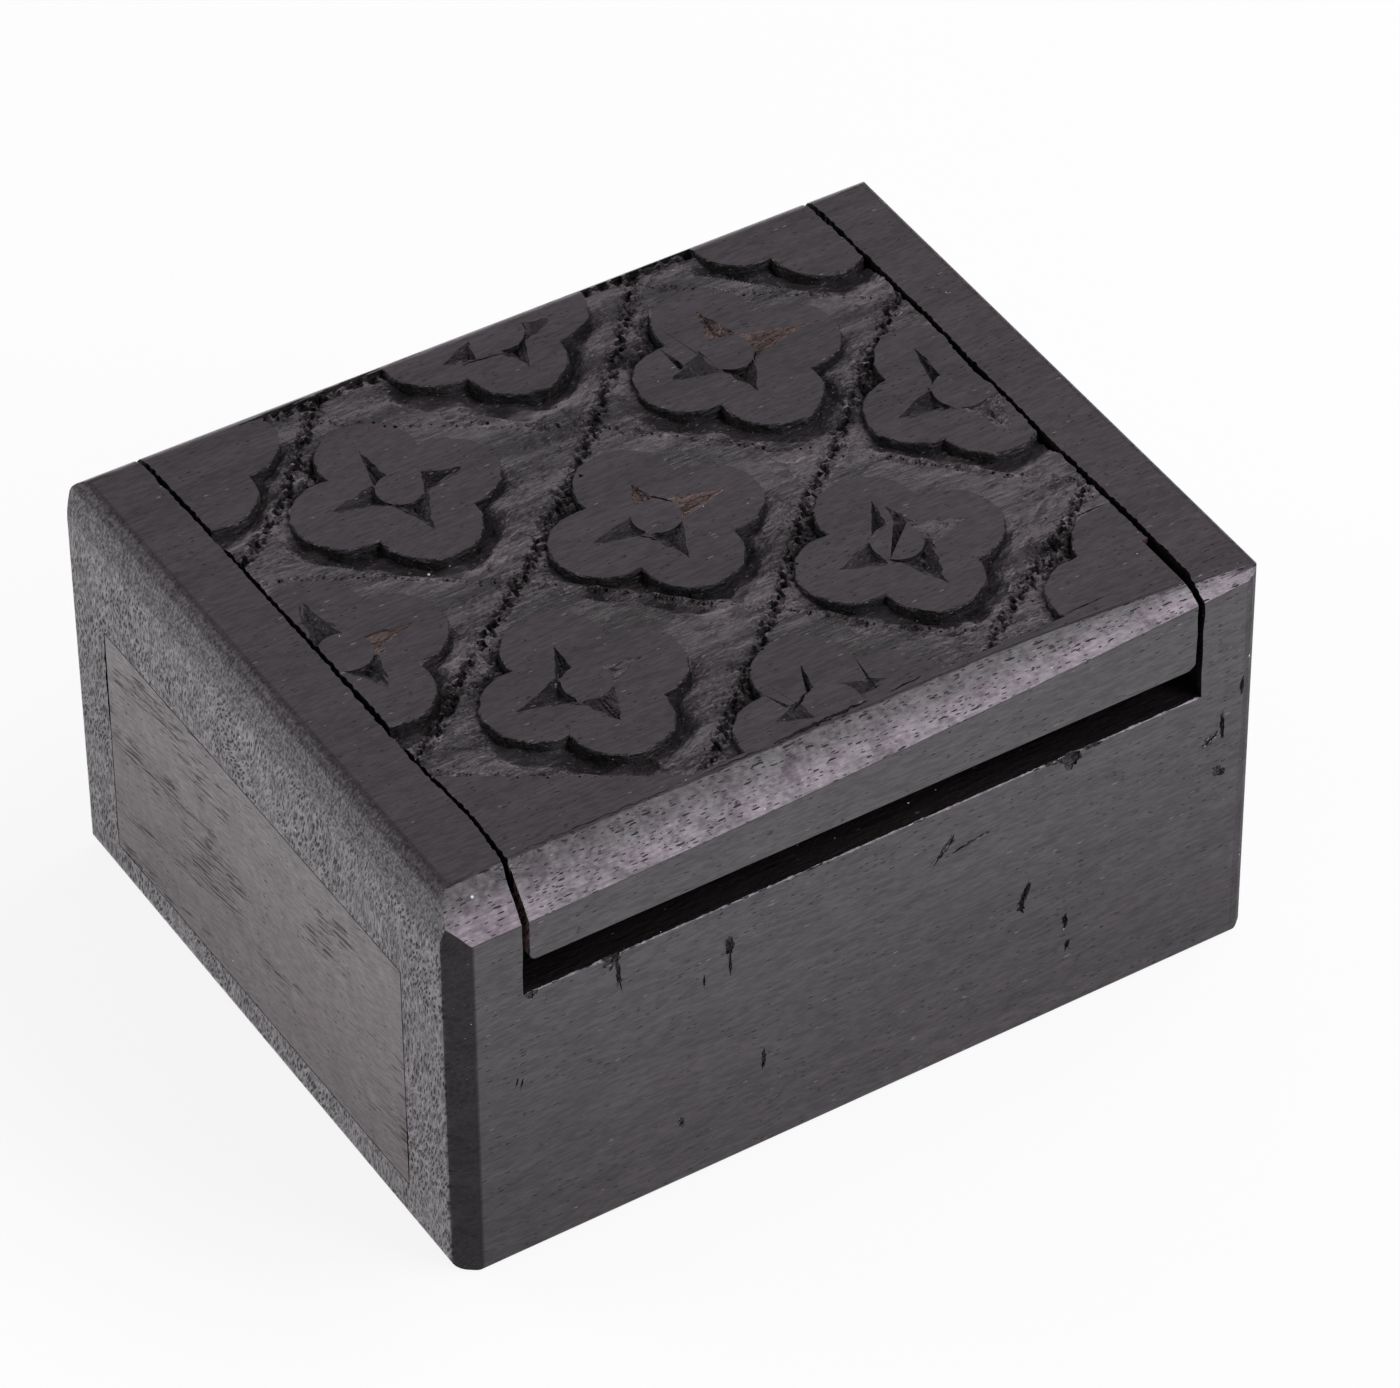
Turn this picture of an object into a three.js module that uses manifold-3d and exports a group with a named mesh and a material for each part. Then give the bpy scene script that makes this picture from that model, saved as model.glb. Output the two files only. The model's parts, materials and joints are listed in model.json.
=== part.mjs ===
// A carved storage box of dark wood: one block, hollowed from side to side, with a thick lid
// sawn free between two side strips. The lid turns on two hidden pins near its rear edge and
// carries quatrefoil flowers, left standing in a sunken diamond lattice.
// Millimetres. Origin at the centre of the underside, +X to the right, -Y is the front, +Z up.

import * as THREE from 'three';
import { mergeVertices } from 'three/addons/utils/BufferGeometryUtils.js';
import Module from 'manifold-3d';

const wasm = await Module();
wasm.setup();

// The block
const WIDTH = 100;
const DEPTH = 79.6;
const HEIGHT = 52;
const REAR_SKEW = 1.6; // the right end is this much less deep than the left
const RIGHT_DROP = 0.85; // the top falls this much from left to right
const REAR_LEAN = 0.6; // the rear and the right face draw in this much towards the foot
const RIGHT_LEAN = 0.35;
const EDGE = { frontRight: 3, rearLeft: 1.2, rearRight: 1.5, topRight: 0.9, topRear: 1.3 };
const FOOT_EDGE = { left: 1.3, right: 3, front: 0.5, rear: 1.5 };
const TOP_LEFT_CHAMFER = { across: 1.5, down: 5 };
const CORNER_CHAMFER = { front: 2.7, left: 2 };
const BEVEL_FOOT = { left: 46.5, rise: 0.98, curve: 3.16 }; // height of the bevel's lower edge
const BEVEL_REACH = 4.2; // how far the front bevel runs back over the top
const BEVEL_NARROWS = { from: 0.65, by: 1.6, power: 1.5 }; // its right end runs back less
const BEVEL_CROWN = 0.25; // the planed bevel swells this much at its middle
const BEVEL_STATIONS = [-1.1, -0.5, 0, 0.3, 0.5, 0.7, 0.85, 1, 1.1]; // shares of the half width

// The hollow, and what stays round it
const FRONT_WALL = 10.2;
const REAR_WALL = 7.7;
const FLOOR = 5.4;
const HOLLOW_TOP = 36.35;
const SILL = 36.9;
const LEFT_STRIP = 8.95;
const RIGHT_STRIP = 7.7;
const KERF = 0.7;
const PANEL_THICKNESS = 11;
const JOINT_GAP = 0.15;

// The lid
const SLOT_TOP = 41.3; // underside of the lid's front lip
const LID_SEAT = 0.3; // air under the closed lid
const STEP_GAP = 0.5; // between the lid's underside block and the walls
const LIP_OVERLAP = 1; // how far the lip's prism runs into the lid's body
const LIP_CORNER = 1.2;
const PIVOT_Y = 33.3;
const PIVOT_Z = 45;
const LID_REAR_RADIUS = 7.75; // the rear lower edge is rounded about the pivot

// The pivot pins
const PIN_RADIUS = 1;
const PIN_LENGTH = 14;
const PIN_END = 0.4; // air past the pin's inner end
const PLUG_LENGTH = 1.8;
const LID_HOLE_RADIUS = 1.3;
const STRIP_HOLE_RADIUS = PIN_RADIUS + JOINT_GAP;
const PIN_SIDES = 24;

// The carving
const LATTICE = { pitchX: 20.2, pitchY: 17.9, x: 1.8, y: 0.5 };
const RIDGE_SINK = 0.15;
const CELL_RISE = 1; // how far a cell's pyramid stands over the surface
const CELL_DEPTH = 4.7;
const LOBE_OFFSET = 6.4;
const LOBE_RADIUS = 5.75;
const DISC_RADIUS = 3;
const CHIP = { inner: 2.3, outer: 7.7, halfWidth: 2.1, deepest: 3.4, depth: 1.2 };
const CHIP_RISE = 0.3; // how far a chip's pit is carried on over the surface
const CARVED_FRONT = -34.9;
const CARVED_REAR = 37.3;

// The flowers as they were laid out by hand: [x, y, turn in degrees]
const STAR_FLOWERS = [
  [-20.4, 19.2, 2],
  [21.3, 19.5, 0],
  [0.1, 1, 0],
  [-19.6, -17, -2],
  [19.6, -16.3, 0],
  [1.2, 35.3, 0],
  [-0.3, -32.9, 0],
  [-38.2, 0.6, 0],
  [38.7, 1.5, 0],
];
const PLAIN_FLOWERS = [
  [-40.3, 36.7, 0],
  [40, 37.4, 0],
  [40, -33.4, 0],
];

// What follows from the sizes above
const LEFT = -WIDTH / 2;
const RIGHT = WIDTH / 2;
const FRONT = -DEPTH / 2;
const REAR = DEPTH / 2;
const HOLLOW_FRONT = FRONT + FRONT_WALL;
const HOLLOW_REAR = REAR - REAR_WALL;
const POCKET_LEFT = LEFT + LEFT_STRIP;
const POCKET_RIGHT = RIGHT - RIGHT_STRIP;
const LID_LEFT = POCKET_LEFT + KERF;
const LID_RIGHT = POCKET_RIGHT - KERF;
const PANEL_TOP = HOLLOW_TOP - JOINT_GAP;
const LID_UNDERSIDE = PANEL_TOP + LID_SEAT;
const PAST = 10; // how far a cutter runs past the block
const ARC_STEPS = 7;
const LOBE_STEPS = 14;
const SAME_POINT = 1e-5;
const TOP_TILT = Math.atan(RIGHT_DROP / WIDTH);

// Directions of a flat outline's own x, y and extrusion in the object
const PLAN = new THREE.Matrix4();
const SEEN_FROM_FRONT = new THREE.Matrix4().makeBasis(
  new THREE.Vector3(1, 0, 0),
  new THREE.Vector3(0, 0, 1),
  new THREE.Vector3(0, -1, 0),
);
const SEEN_FROM_SIDE = new THREE.Matrix4().makeBasis(
  new THREE.Vector3(0, 1, 0),
  new THREE.Vector3(0, 0, 1),
  new THREE.Vector3(1, 0, 0),
);

// Geometry to solid and back

function solidOf(geometry) {
  const bare = geometry.clone();
  bare.deleteAttribute('normal');
  bare.deleteAttribute('uv');
  const merged = mergeVertices(bare, SAME_POINT);
  const triVerts = Uint32Array.from(merged.index.array);
  const vertProperties = Float32Array.from(merged.attributes.position.array);
  return new wasm.Manifold(new wasm.Mesh({ numProp: 3, vertProperties, triVerts }));
}

function geometryOf(solid) {
  const { vertProperties, triVerts } = solid.getMesh();
  const geometry = new THREE.BufferGeometry();
  geometry.setAttribute('position', new THREE.BufferAttribute(Float32Array.from(vertProperties), 3));
  geometry.setIndex(new THREE.BufferAttribute(Uint32Array.from(triVerts), 1));
  return geometry;
}

// Flat outlines

// corners: [x, y, radius] anticlockwise; a radius of 0 keeps the corner sharp
function roundedOutline(corners) {
  const shape = new THREE.Shape();
  corners.forEach(([x, y, radius], i) => {
    const corner = new THREE.Vector2(x, y);
    const before = corners[(i + corners.length - 1) % corners.length];
    const after = corners[(i + 1) % corners.length];
    const back = new THREE.Vector2(before[0] - x, before[1] - y).normalize();
    const ahead = new THREE.Vector2(after[0] - x, after[1] - y).normalize();
    const half = Math.acos(back.dot(ahead)) / 2;
    const reach = radius / Math.tan(half);
    const start = corner.clone().addScaledVector(back, reach);
    if (i === 0) shape.moveTo(start.x, start.y);
    else shape.lineTo(start.x, start.y);
    if (radius === 0) return;
    const end = corner.clone().addScaledVector(ahead, reach);
    const inwards = back.clone().add(ahead).normalize();
    const centre = corner.clone().addScaledVector(inwards, radius / Math.sin(half));
    const angleTo = (p) => Math.atan2(p.y - centre.y, p.x - centre.x);
    shape.absarc(centre.x, centre.y, radius, angleTo(start), angleTo(end), back.cross(ahead) > 0);
  });
  shape.closePath();
  return shape;
}

function rectangle(x0, y0, x1, y1, radius = 0) {
  return roundedOutline([[x0, y0, radius], [x1, y0, radius], [x1, y1, radius], [x0, y1, radius]]);
}

// A prism of the outline, from `from` on, `length` long
function prism(shape, view, from, length, steps = ARC_STEPS) {
  const options = { depth: length, bevelEnabled: false, curveSegments: steps };
  const geometry = new THREE.ExtrudeGeometry(shape, options);
  geometry.translate(0, 0, from);
  geometry.applyMatrix4(view);
  return solidOf(geometry);
}

// A closed skin over rings of points that all have the same count
function loft(rings) {
  const size = rings[0].length;
  const triangles = [];
  for (let r = 0; r + 1 < rings.length; r += 1) {
    for (let i = 0; i < size; i += 1) {
      const a = r * size + i;
      const b = r * size + ((i + 1) % size);
      triangles.push(a, b, b + size, a, b + size, a + size);
    }
  }
  const last = (rings.length - 1) * size;
  for (let i = 1; i + 1 < size; i += 1) {
    triangles.push(0, i + 1, i, last, last + i, last + i + 1);
  }
  const geometry = new THREE.BufferGeometry();
  geometry.setAttribute('position', new THREE.Float32BufferAttribute(rings.flat(2), 3));
  geometry.setIndex(triangles);
  return solidOf(geometry);
}

// The block before it is hollowed: its plan drawn in towards the foot, trimmed to two side
// outlines, with the rear edges rounded and the front bevel planed last

function topAt(x) {
  return HEIGHT - (RIGHT_DROP * (x - LEFT)) / WIDTH;
}

function rearAt(x) {
  return REAR - (REAR_SKEW * (x - LEFT)) / WIDTH;
}

// The block's outline at one height
function planRing(z) {
  const lean = 1 - z / HEIGHT;
  const right = RIGHT - RIGHT_LEAN * lean;
  const rearLean = REAR_LEAN * lean;
  const points = roundedOutline([
    [LEFT + CORNER_CHAMFER.front, FRONT, 0],
    [right, FRONT, EDGE.frontRight],
    [right, rearAt(RIGHT) - rearLean, EDGE.rearRight],
    [LEFT, REAR - rearLean, EDGE.rearLeft],
    [LEFT, FRONT + CORNER_CHAMFER.left, 0],
  ]).getPoints(ARC_STEPS);
  const apart = points.filter((p, i) => p.distanceTo(points[(i + 1) % points.length]) > SAME_POINT);
  return apart.map((p) => [p.x, p.y, z]);
}

// Rounds an edge that runs along X. edgeAt gives its [y, z] at an x, out which way it sticks out
function edgeCutter(edgeAt, [outY, outZ], radius) {
  const rings = [LEFT - PAST, RIGHT + PAST].map((x) => {
    const [y, z] = edgeAt(x);
    const far = [y + outY * PAST, z + outZ * PAST];
    const arc = [];
    for (let i = 0; i <= ARC_STEPS; i += 1) {
      const turn = ((i / ARC_STEPS) * Math.PI) / 2;
      arc.push([y + outY * radius * (Math.sin(turn) - 1), z + outZ * radius * (Math.cos(turn) - 1)]);
    }
    const rest = [[arc[0][0], far[1]], ...arc, [far[0], arc[ARC_STEPS][1]]];
    if (outY * outZ < 0) rest.reverse();
    return [far, ...rest].map(([py, pz]) => [x, py, pz]);
  });
  return loft(rings);
}

// The bevel is 5.5 mm deep at the left and tapers to under 1 mm at the right
function bevelFootAt(x) {
  const t = (x - LEFT) / WIDTH;
  return BEVEL_FOOT.left + BEVEL_FOOT.rise * t + BEVEL_FOOT.curve * t * t;
}

function bevelReachAt(x) {
  const t = (x - LEFT) / WIDTH;
  const late = Math.max(0, (t - BEVEL_NARROWS.from) / (1 - BEVEL_NARROWS.from));
  return BEVEL_REACH - BEVEL_NARROWS.by * late ** BEVEL_NARROWS.power;
}

function bevelCutter() {
  const rings = BEVEL_STATIONS.map((share) => {
    const x = share * RIGHT;
    const foot = new THREE.Vector2(FRONT, bevelFootAt(x));
    const head = new THREE.Vector2(FRONT + bevelReachAt(x), topAt(x));
    const along = head.clone().sub(foot);
    const crown = foot.clone().add(head).multiplyScalar(0.5);
    crown.add(new THREE.Vector2(-along.y, along.x).normalize().multiplyScalar(BEVEL_CROWN));
    const under = foot.clone().sub(along);
    const over = head.clone().add(along);
    const outline = [under, foot, crown, head, over, new THREE.Vector2(FRONT - PAST, over.y + PAST)];
    return outline.map((p) => [x, p.x, p.y]);
  });
  return loft(rings);
}

function wholeBlock() {
  const fromFront = prism(roundedOutline([
    [LEFT, 0, FOOT_EDGE.left],
    [RIGHT, 0, FOOT_EDGE.right],
    [RIGHT, topAt(RIGHT), EDGE.topRight],
    [LEFT + TOP_LEFT_CHAMFER.across, topAt(LEFT + TOP_LEFT_CHAMFER.across), 0],
    [LEFT, HEIGHT - TOP_LEFT_CHAMFER.down, 0],
  ]), SEEN_FROM_FRONT, -REAR - PAST, DEPTH + 2 * PAST);
  return loft([planRing(0), planRing(HEIGHT)])
    .intersect(fromFront)
    .subtract(edgeCutter(() => [FRONT, 0], [-1, -1], FOOT_EDGE.front))
    .subtract(edgeCutter((x) => [rearAt(x) - REAR_LEAN, 0], [1, -1], FOOT_EDGE.rear))
    .subtract(edgeCutter((x) => [rearAt(x), topAt(x)], [1, 1], EDGE.topRear))
    .subtract(bevelCutter());
}

// The carving, drawn with its surface at height 0 and then laid on the sloping top

function quatrefoil() {
  const cusp = (LOBE_OFFSET + Math.sqrt(2 * LOBE_RADIUS ** 2 - LOBE_OFFSET ** 2)) / 2;
  const sweep = Math.atan2(cusp, cusp - LOBE_OFFSET);
  const shape = new THREE.Shape();
  for (let lobe = 0; lobe < 4; lobe += 1) {
    const facing = (lobe * Math.PI) / 2;
    const x = LOBE_OFFSET * Math.cos(facing);
    const y = LOBE_OFFSET * Math.sin(facing);
    shape.absarc(x, y, LOBE_RADIUS, facing - sweep, facing + sweep, false);
  }
  shape.closePath();
  return shape;
}

function placeFlower([x, y, turn]) {
  return new THREE.Matrix4().makeRotationZ(THREE.MathUtils.degToRad(turn)).setPosition(x, y, 0);
}

function flowerCore(flower) {
  return prism(quatrefoil(), placeFlower(flower), -PAST, 2 * PAST, LOBE_STEPS);
}

// One cell of the lattice is an upside-down pyramid whose rim lies just under the surface
function latticeCell(x, y) {
  const depth = CELL_DEPTH + RIDGE_SINK;
  const height = depth + CELL_RISE;
  const scale = height / CELL_DEPTH;
  const cell = new THREE.ConeGeometry(1, 1, 4);
  cell.rotateX(-Math.PI / 2);
  cell.scale(LATTICE.pitchX * scale, LATTICE.pitchY * scale, height);
  cell.translate(x, y, CELL_RISE - height / 2);
  return solidOf(cell);
}

// Four three-sided chips, cut in from the disc at the flower's middle
function starCuts(flower) {
  const place = placeFlower(flower);
  const grow = (CHIP.depth + CHIP_RISE) / CHIP.depth;
  const deepest = new THREE.Vector3(CHIP.deepest, 0, -CHIP.depth);
  const rim = [
    new THREE.Vector3(CHIP.inner, -CHIP.halfWidth, 0),
    new THREE.Vector3(CHIP.outer, 0, 0),
    new THREE.Vector3(CHIP.inner, CHIP.halfWidth, 0),
  ].map((p) => p.sub(deepest).multiplyScalar(grow).add(deepest));
  const corners = [deepest, ...rim].flatMap((p) => p.toArray());
  const geometry = new THREE.BufferGeometry();
  geometry.setAttribute('position', new THREE.Float32BufferAttribute(corners, 3));
  geometry.setIndex([0, 2, 1, 0, 3, 2, 0, 1, 3, 1, 2, 3]);
  const chips = [0, 1, 2, 3].map((quarter) => {
    const turned = geometry.clone().rotateZ((quarter * Math.PI) / 2);
    turned.applyMatrix4(place);
    return solidOf(turned);
  });
  const circle = new THREE.Shape().absarc(0, 0, DISC_RADIUS, 0, 2 * Math.PI);
  const disc = prism(circle, place, -PAST, 2 * PAST);
  return chips.reduce((all, chip) => all.add(chip)).subtract(disc);
}

function carving() {
  const cells = [];
  for (let column = -2; column <= 2; column += 1) {
    for (let row = -2; row <= 2; row += 1) {
      const frontLeftCorner = column === -2 && row === -2;
      const onLattice = (column + row) % 2 === 0;
      if (!onLattice || frontLeftCorner) continue;
      cells.push(latticeCell(LATTICE.x + column * LATTICE.pitchX, LATTICE.y + row * LATTICE.pitchY));
    }
  }
  const flowers = [...STAR_FLOWERS, ...PLAIN_FLOWERS].map(flowerCore);
  const stars = STAR_FLOWERS.map(starCuts);
  const join = (solids) => solids.reduce((all, solid) => all.add(solid));
  const field = prism(rectangle(LEFT, CARVED_FRONT, RIGHT, CARVED_REAR), PLAN, -PAST, 2 * PAST);
  const cuts = join(cells).subtract(join(flowers)).add(join(stars)).intersect(field);
  const onTop = geometryOf(cuts);
  onTop.rotateY(TOP_TILT);
  onTop.translate(0, 0, topAt(0));
  return solidOf(onTop);
}

// The pieces

function drilling(from, to, radius) {
  const bore = new THREE.CylinderGeometry(radius, radius, to - from, PIN_SIDES);
  bore.rotateZ(Math.PI / 2);
  bore.translate((from + to) / 2, PIVOT_Y, PIVOT_Z);
  return solidOf(bore);
}

function carcassGeometry(block) {
  const throughCut = rectangle(HOLLOW_FRONT, FLOOR, HOLLOW_REAR, HOLLOW_TOP);
  const hollow = prism(throughCut, SEEN_FROM_SIDE, LEFT - PAST, WIDTH + 2 * PAST);
  const lidPlace = rectangle(POCKET_LEFT, SILL, POCKET_RIGHT, HEIGHT + PAST);
  const pocket = prism(lidPlace, SEEN_FROM_FRONT, -REAR - PAST, DEPTH + 2 * PAST);
  const mouthOutline = rectangle(HOLLOW_FRONT, FLOOR, HOLLOW_REAR, HEIGHT + PAST);
  const mouth = prism(mouthOutline, SEEN_FROM_SIDE, POCKET_LEFT, POCKET_RIGHT - POCKET_LEFT);
  const pinHoles = drilling(LEFT - PAST, RIGHT + PAST, STRIP_HOLE_RADIUS);
  return geometryOf(block.subtract(hollow).subtract(pocket).subtract(mouth).subtract(pinHoles));
}

// Seen from the side the lid is a thin lip over the front wall, a thick middle that drops
// into the hollow, and a rear end rounded about the pivot so that it clears the rear wall
function lidGeometry(block) {
  const lip = prism(
    roundedOutline([
      [LID_LEFT, SLOT_TOP, LIP_CORNER],
      [LID_RIGHT, SLOT_TOP, LIP_CORNER],
      [LID_RIGHT, HEIGHT + PAST, 0],
      [LID_LEFT, HEIGHT + PAST, 0],
    ]), SEEN_FROM_FRONT, -HOLLOW_FRONT - STEP_GAP - LIP_OVERLAP, FRONT_WALL + PAST,
  );
  const stepFront = HOLLOW_FRONT + STEP_GAP;
  const stepRear = HOLLOW_REAR - STEP_GAP;
  const side = new THREE.Shape();
  side.moveTo(stepFront, LID_UNDERSIDE);
  side.lineTo(stepRear, LID_UNDERSIDE);
  side.lineTo(stepRear, PIVOT_Z - LID_REAR_RADIUS);
  side.absarc(PIVOT_Y, PIVOT_Z, LID_REAR_RADIUS, -Math.PI / 2, 0, false);
  side.lineTo(PIVOT_Y + LID_REAR_RADIUS, HEIGHT + PAST);
  side.lineTo(stepFront, HEIGHT + PAST);
  side.closePath();
  const body = prism(side, SEEN_FROM_SIDE, LID_LEFT, LID_RIGHT - LID_LEFT, 2 * ARC_STEPS);
  const pinReach = PLUG_LENGTH + PIN_LENGTH + PIN_END;
  const solid = block
    .intersect(lip.add(body))
    .subtract(carving())
    .subtract(drilling(LEFT, LEFT + pinReach, LID_HOLE_RADIUS))
    .subtract(drilling(RIGHT - pinReach, RIGHT, LID_HOLE_RADIUS));
  return geometryOf(solid).translate(0, -PIVOT_Y, -PIVOT_Z);
}

// A board let into one end of the hollow, its outer face planed off with the block
function endPanelGeometry(block, side) {
  const outer = side < 0 ? LEFT : RIGHT - PANEL_THICKNESS;
  const board = prism(
    rectangle(HOLLOW_FRONT + JOINT_GAP, FLOOR + JOINT_GAP, HOLLOW_REAR - JOINT_GAP, PANEL_TOP),
    SEEN_FROM_SIDE, outer, PANEL_THICKNESS,
  );
  return geometryOf(block.intersect(board));
}

function rodGeometry(length) {
  return new THREE.CylinderGeometry(PIN_RADIUS, PIN_RADIUS, length, PIN_SIDES).rotateZ(Math.PI / 2);
}

function named(name, geometry, material) {
  const mesh = new THREE.Mesh(geometry, material);
  mesh.name = name;
  return mesh;
}

function dyedWood(color) {
  return new THREE.MeshStandardMaterial({ color, roughness: 0.5, metalness: 0 });
}

const box = new THREE.Group();
const block = wholeBlock();

box.add(named('carcass', carcassGeometry(block), dyedWood('#4a4549')));

const lidGroup = new THREE.Group();
lidGroup.position.set(0, PIVOT_Y, PIVOT_Z);
lidGroup.add(named('lid', lidGeometry(block), dyedWood('#464246')));
box.add(lidGroup);

for (const [name, side] of [['left', -1], ['right', 1]]) {
  box.add(named(`${name}_end_panel`, endPanelGeometry(block, side), dyedWood('#6e676c')));

  const pivot = new THREE.Group();
  pivot.position.set(side * RIGHT, PIVOT_Y, PIVOT_Z);
  const steel = new THREE.MeshStandardMaterial({ color: '#8d8d90', roughness: 0.35, metalness: 1 });
  const filler = new THREE.MeshStandardMaterial({ color: '#3c383b', roughness: 0.75, metalness: 0 });
  const pin = named(`${name}_pivot_pin`, rodGeometry(PIN_LENGTH), steel);
  pin.position.x = -side * (PLUG_LENGTH + PIN_LENGTH / 2);
  const plug = named(`${name}_pin_plug`, rodGeometry(PLUG_LENGTH - JOINT_GAP), filler);
  plug.position.x = (-side * (PLUG_LENGTH - JOINT_GAP)) / 2;
  pivot.add(pin, plug);
  box.add(pivot);
}

export default box;
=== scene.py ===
# %% [markdown]
# # A carved box of dyed hardwood
# The real box is one small block of hardwood. Its hollow is cut through from side to side and
# closed by two end boards, and the lid is sawn free between two side strips. The lid carries
# quatrefoil flowers, left standing while the wood round them is cut away with small gouges.
# This lesson rebuilds it: the block first, then the two pieces the saw makes of it, then the
# carving, and last the wood itself. The measured frame comes in first, and nothing in it moves.

import json
import math

import bpy
import numpy as np
from mathutils import Matrix, Vector

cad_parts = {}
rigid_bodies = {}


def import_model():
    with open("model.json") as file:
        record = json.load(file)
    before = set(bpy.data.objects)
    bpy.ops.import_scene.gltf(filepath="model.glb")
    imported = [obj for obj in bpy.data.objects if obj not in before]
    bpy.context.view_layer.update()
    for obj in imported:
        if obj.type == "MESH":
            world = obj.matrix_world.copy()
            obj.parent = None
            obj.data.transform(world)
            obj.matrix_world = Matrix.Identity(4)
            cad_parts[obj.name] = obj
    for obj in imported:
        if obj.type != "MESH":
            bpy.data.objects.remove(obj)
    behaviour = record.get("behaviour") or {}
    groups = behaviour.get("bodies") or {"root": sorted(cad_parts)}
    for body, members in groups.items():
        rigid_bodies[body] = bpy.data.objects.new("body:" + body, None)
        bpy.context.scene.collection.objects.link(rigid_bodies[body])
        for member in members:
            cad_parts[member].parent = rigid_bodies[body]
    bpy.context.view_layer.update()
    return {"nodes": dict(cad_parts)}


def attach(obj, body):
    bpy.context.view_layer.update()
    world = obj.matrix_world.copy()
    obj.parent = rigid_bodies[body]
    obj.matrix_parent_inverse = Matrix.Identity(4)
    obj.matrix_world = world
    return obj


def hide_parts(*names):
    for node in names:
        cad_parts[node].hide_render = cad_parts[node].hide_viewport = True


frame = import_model()
nodes = frame["nodes"]
print("nodes:", sorted(nodes))

# %% [markdown]
# The box is only ten centimetres wide, and mesh tools treat very small distances as nothing.
# So every piece is drawn with one unit for one millimetre, and is shrunk to metres when it is
# finished. These sizes are the same ones that the measured frame was built from.

# %% The block's sizes in millimetres
LEFT, RIGHT = -50, 50
FRONT, REAR = -39.8, 39.8
HEIGHT = 52
REAR_SKEW = 1.6
RIGHT_DROP = 0.85
REAR_LEAN = 0.6
RIGHT_LEAN = 0.35
HOLLOW_FRONT, HOLLOW_REAR = -29.6, 32.1
FLOOR = 5.4
HOLLOW_TOP = 36.35
SILL = 36.9
LIP_UNDERSIDE = 41.3
LID_UNDERSIDE = 36.5
PIVOT_Y, PIVOT_Z = 33.3, 45
PAST = 10


def top_at(x):
    return HEIGHT - RIGHT_DROP * (x - LEFT) / (RIGHT - LEFT)


def rear_at(x):
    return REAR - REAR_SKEW * (x - LEFT) / (RIGHT - LEFT)


# %% [markdown]
# Small helpers do the work of the bench. `solid` draws a flat outline, a filled circle with as
# many corners as the outline has points, and grows it by extruding it from ring to ring. Then the
# corners are moved to the points. `cut` is the saw and the gouge: a boolean that takes one solid
# from another and throws the cutter away.

# %% Drawing, growing and cutting solids
def only(piece):
    bpy.ops.object.select_all(action="DESELECT")
    piece.select_set(True)
    bpy.context.view_layer.objects.active = piece


def added(operator, **settings):
    """Adds one object with a tool of Blender's own, selects it alone and gives it back."""
    bpy.ops.object.select_all(action="DESELECT")
    operator(**settings)
    return bpy.context.active_object


def in_edit_mode(piece, *steps):
    only(piece)
    bpy.ops.object.mode_set(mode="EDIT")
    bpy.ops.mesh.select_all(action="SELECT")
    for step in steps:
        step()
    bpy.ops.object.mode_set(mode="OBJECT")


def points_of(piece):
    flat = np.empty(len(piece.data.vertices) * 3, np.float32)
    piece.data.vertices.foreach_get("co", flat)
    return flat.reshape(-1, 3).astype(float)


def move_points(piece, points):
    piece.data.vertices.foreach_set("co", np.asarray(points, np.float32).ravel())
    piece.data.update()


def facing_out(piece):
    in_edit_mode(piece, lambda: bpy.ops.mesh.normals_make_consistent(inside=False))
    return piece


def solid(name, rings):
    """A closed solid over rings of points, which all have the same number of points."""
    piece = added(bpy.ops.mesh.primitive_circle_add, vertices=len(rings[0]), fill_type="NGON")
    piece.name = name
    move_points(piece, rings[0])
    in_edit_mode(piece, *[bpy.ops.mesh.extrude_region_move] * (len(rings) - 1))
    move_points(piece, np.concatenate([np.asarray(ring, float) for ring in rings]))
    return facing_out(piece)


def cut(piece, tool, operation="DIFFERENCE"):
    only(piece)
    step = piece.modifiers.new("cut", "BOOLEAN")
    step.operation = operation
    step.solver = "MANIFOLD"
    step.object = tool
    bpy.ops.object.modifier_apply(modifier=step.name)
    bpy.data.objects.remove(tool)
    return piece


def join(pieces):
    bpy.ops.object.select_all(action="DESELECT")
    for piece in pieces:
        piece.select_set(True)
    bpy.context.view_layer.objects.active = pieces[0]
    bpy.ops.object.join()
    return pieces[0]


# %% [markdown]
# Every face remembers which tool bared it, because a sanded face, a gouged ground, a deep wall,
# a torn chip, a nick and a saw cut look different. A cutter carries the number of the finish it
# leaves, and the boolean hands that number on to each face it cuts. The materials are still empty
# here, and get their nodes later.

# %% The finishes by number
SANDED, GOUGED, DEEP, RAW, INSIDE, NICKED, SAWN = range(7)
finishes = [bpy.data.materials.new(name + "_wood") for name in (
    "sanded", "gouged", "deep", "raw", "inside", "nicked", "sawn")]


def leaves(tool, finish):
    """Marks every face of a cutter, so that the wood it bares takes that finish."""
    tool.data.materials.clear()
    for material in finishes:
        tool.data.materials.append(material)
    tool.data.polygons.foreach_set("material_index", np.full(len(tool.data.polygons), finish))
    return tool


# %% [markdown]
# No edge of a hand-sanded box is sharp. An outline gets its rounding here, before it becomes a
# solid: each corner is given a radius and is replaced by a short arc. Every outline is listed
# anticlockwise, and a radius near zero still leaves a tiny arc, as a cloth would.

# %% Outlines with rounded corners
ARC_STEPS = 6


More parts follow.
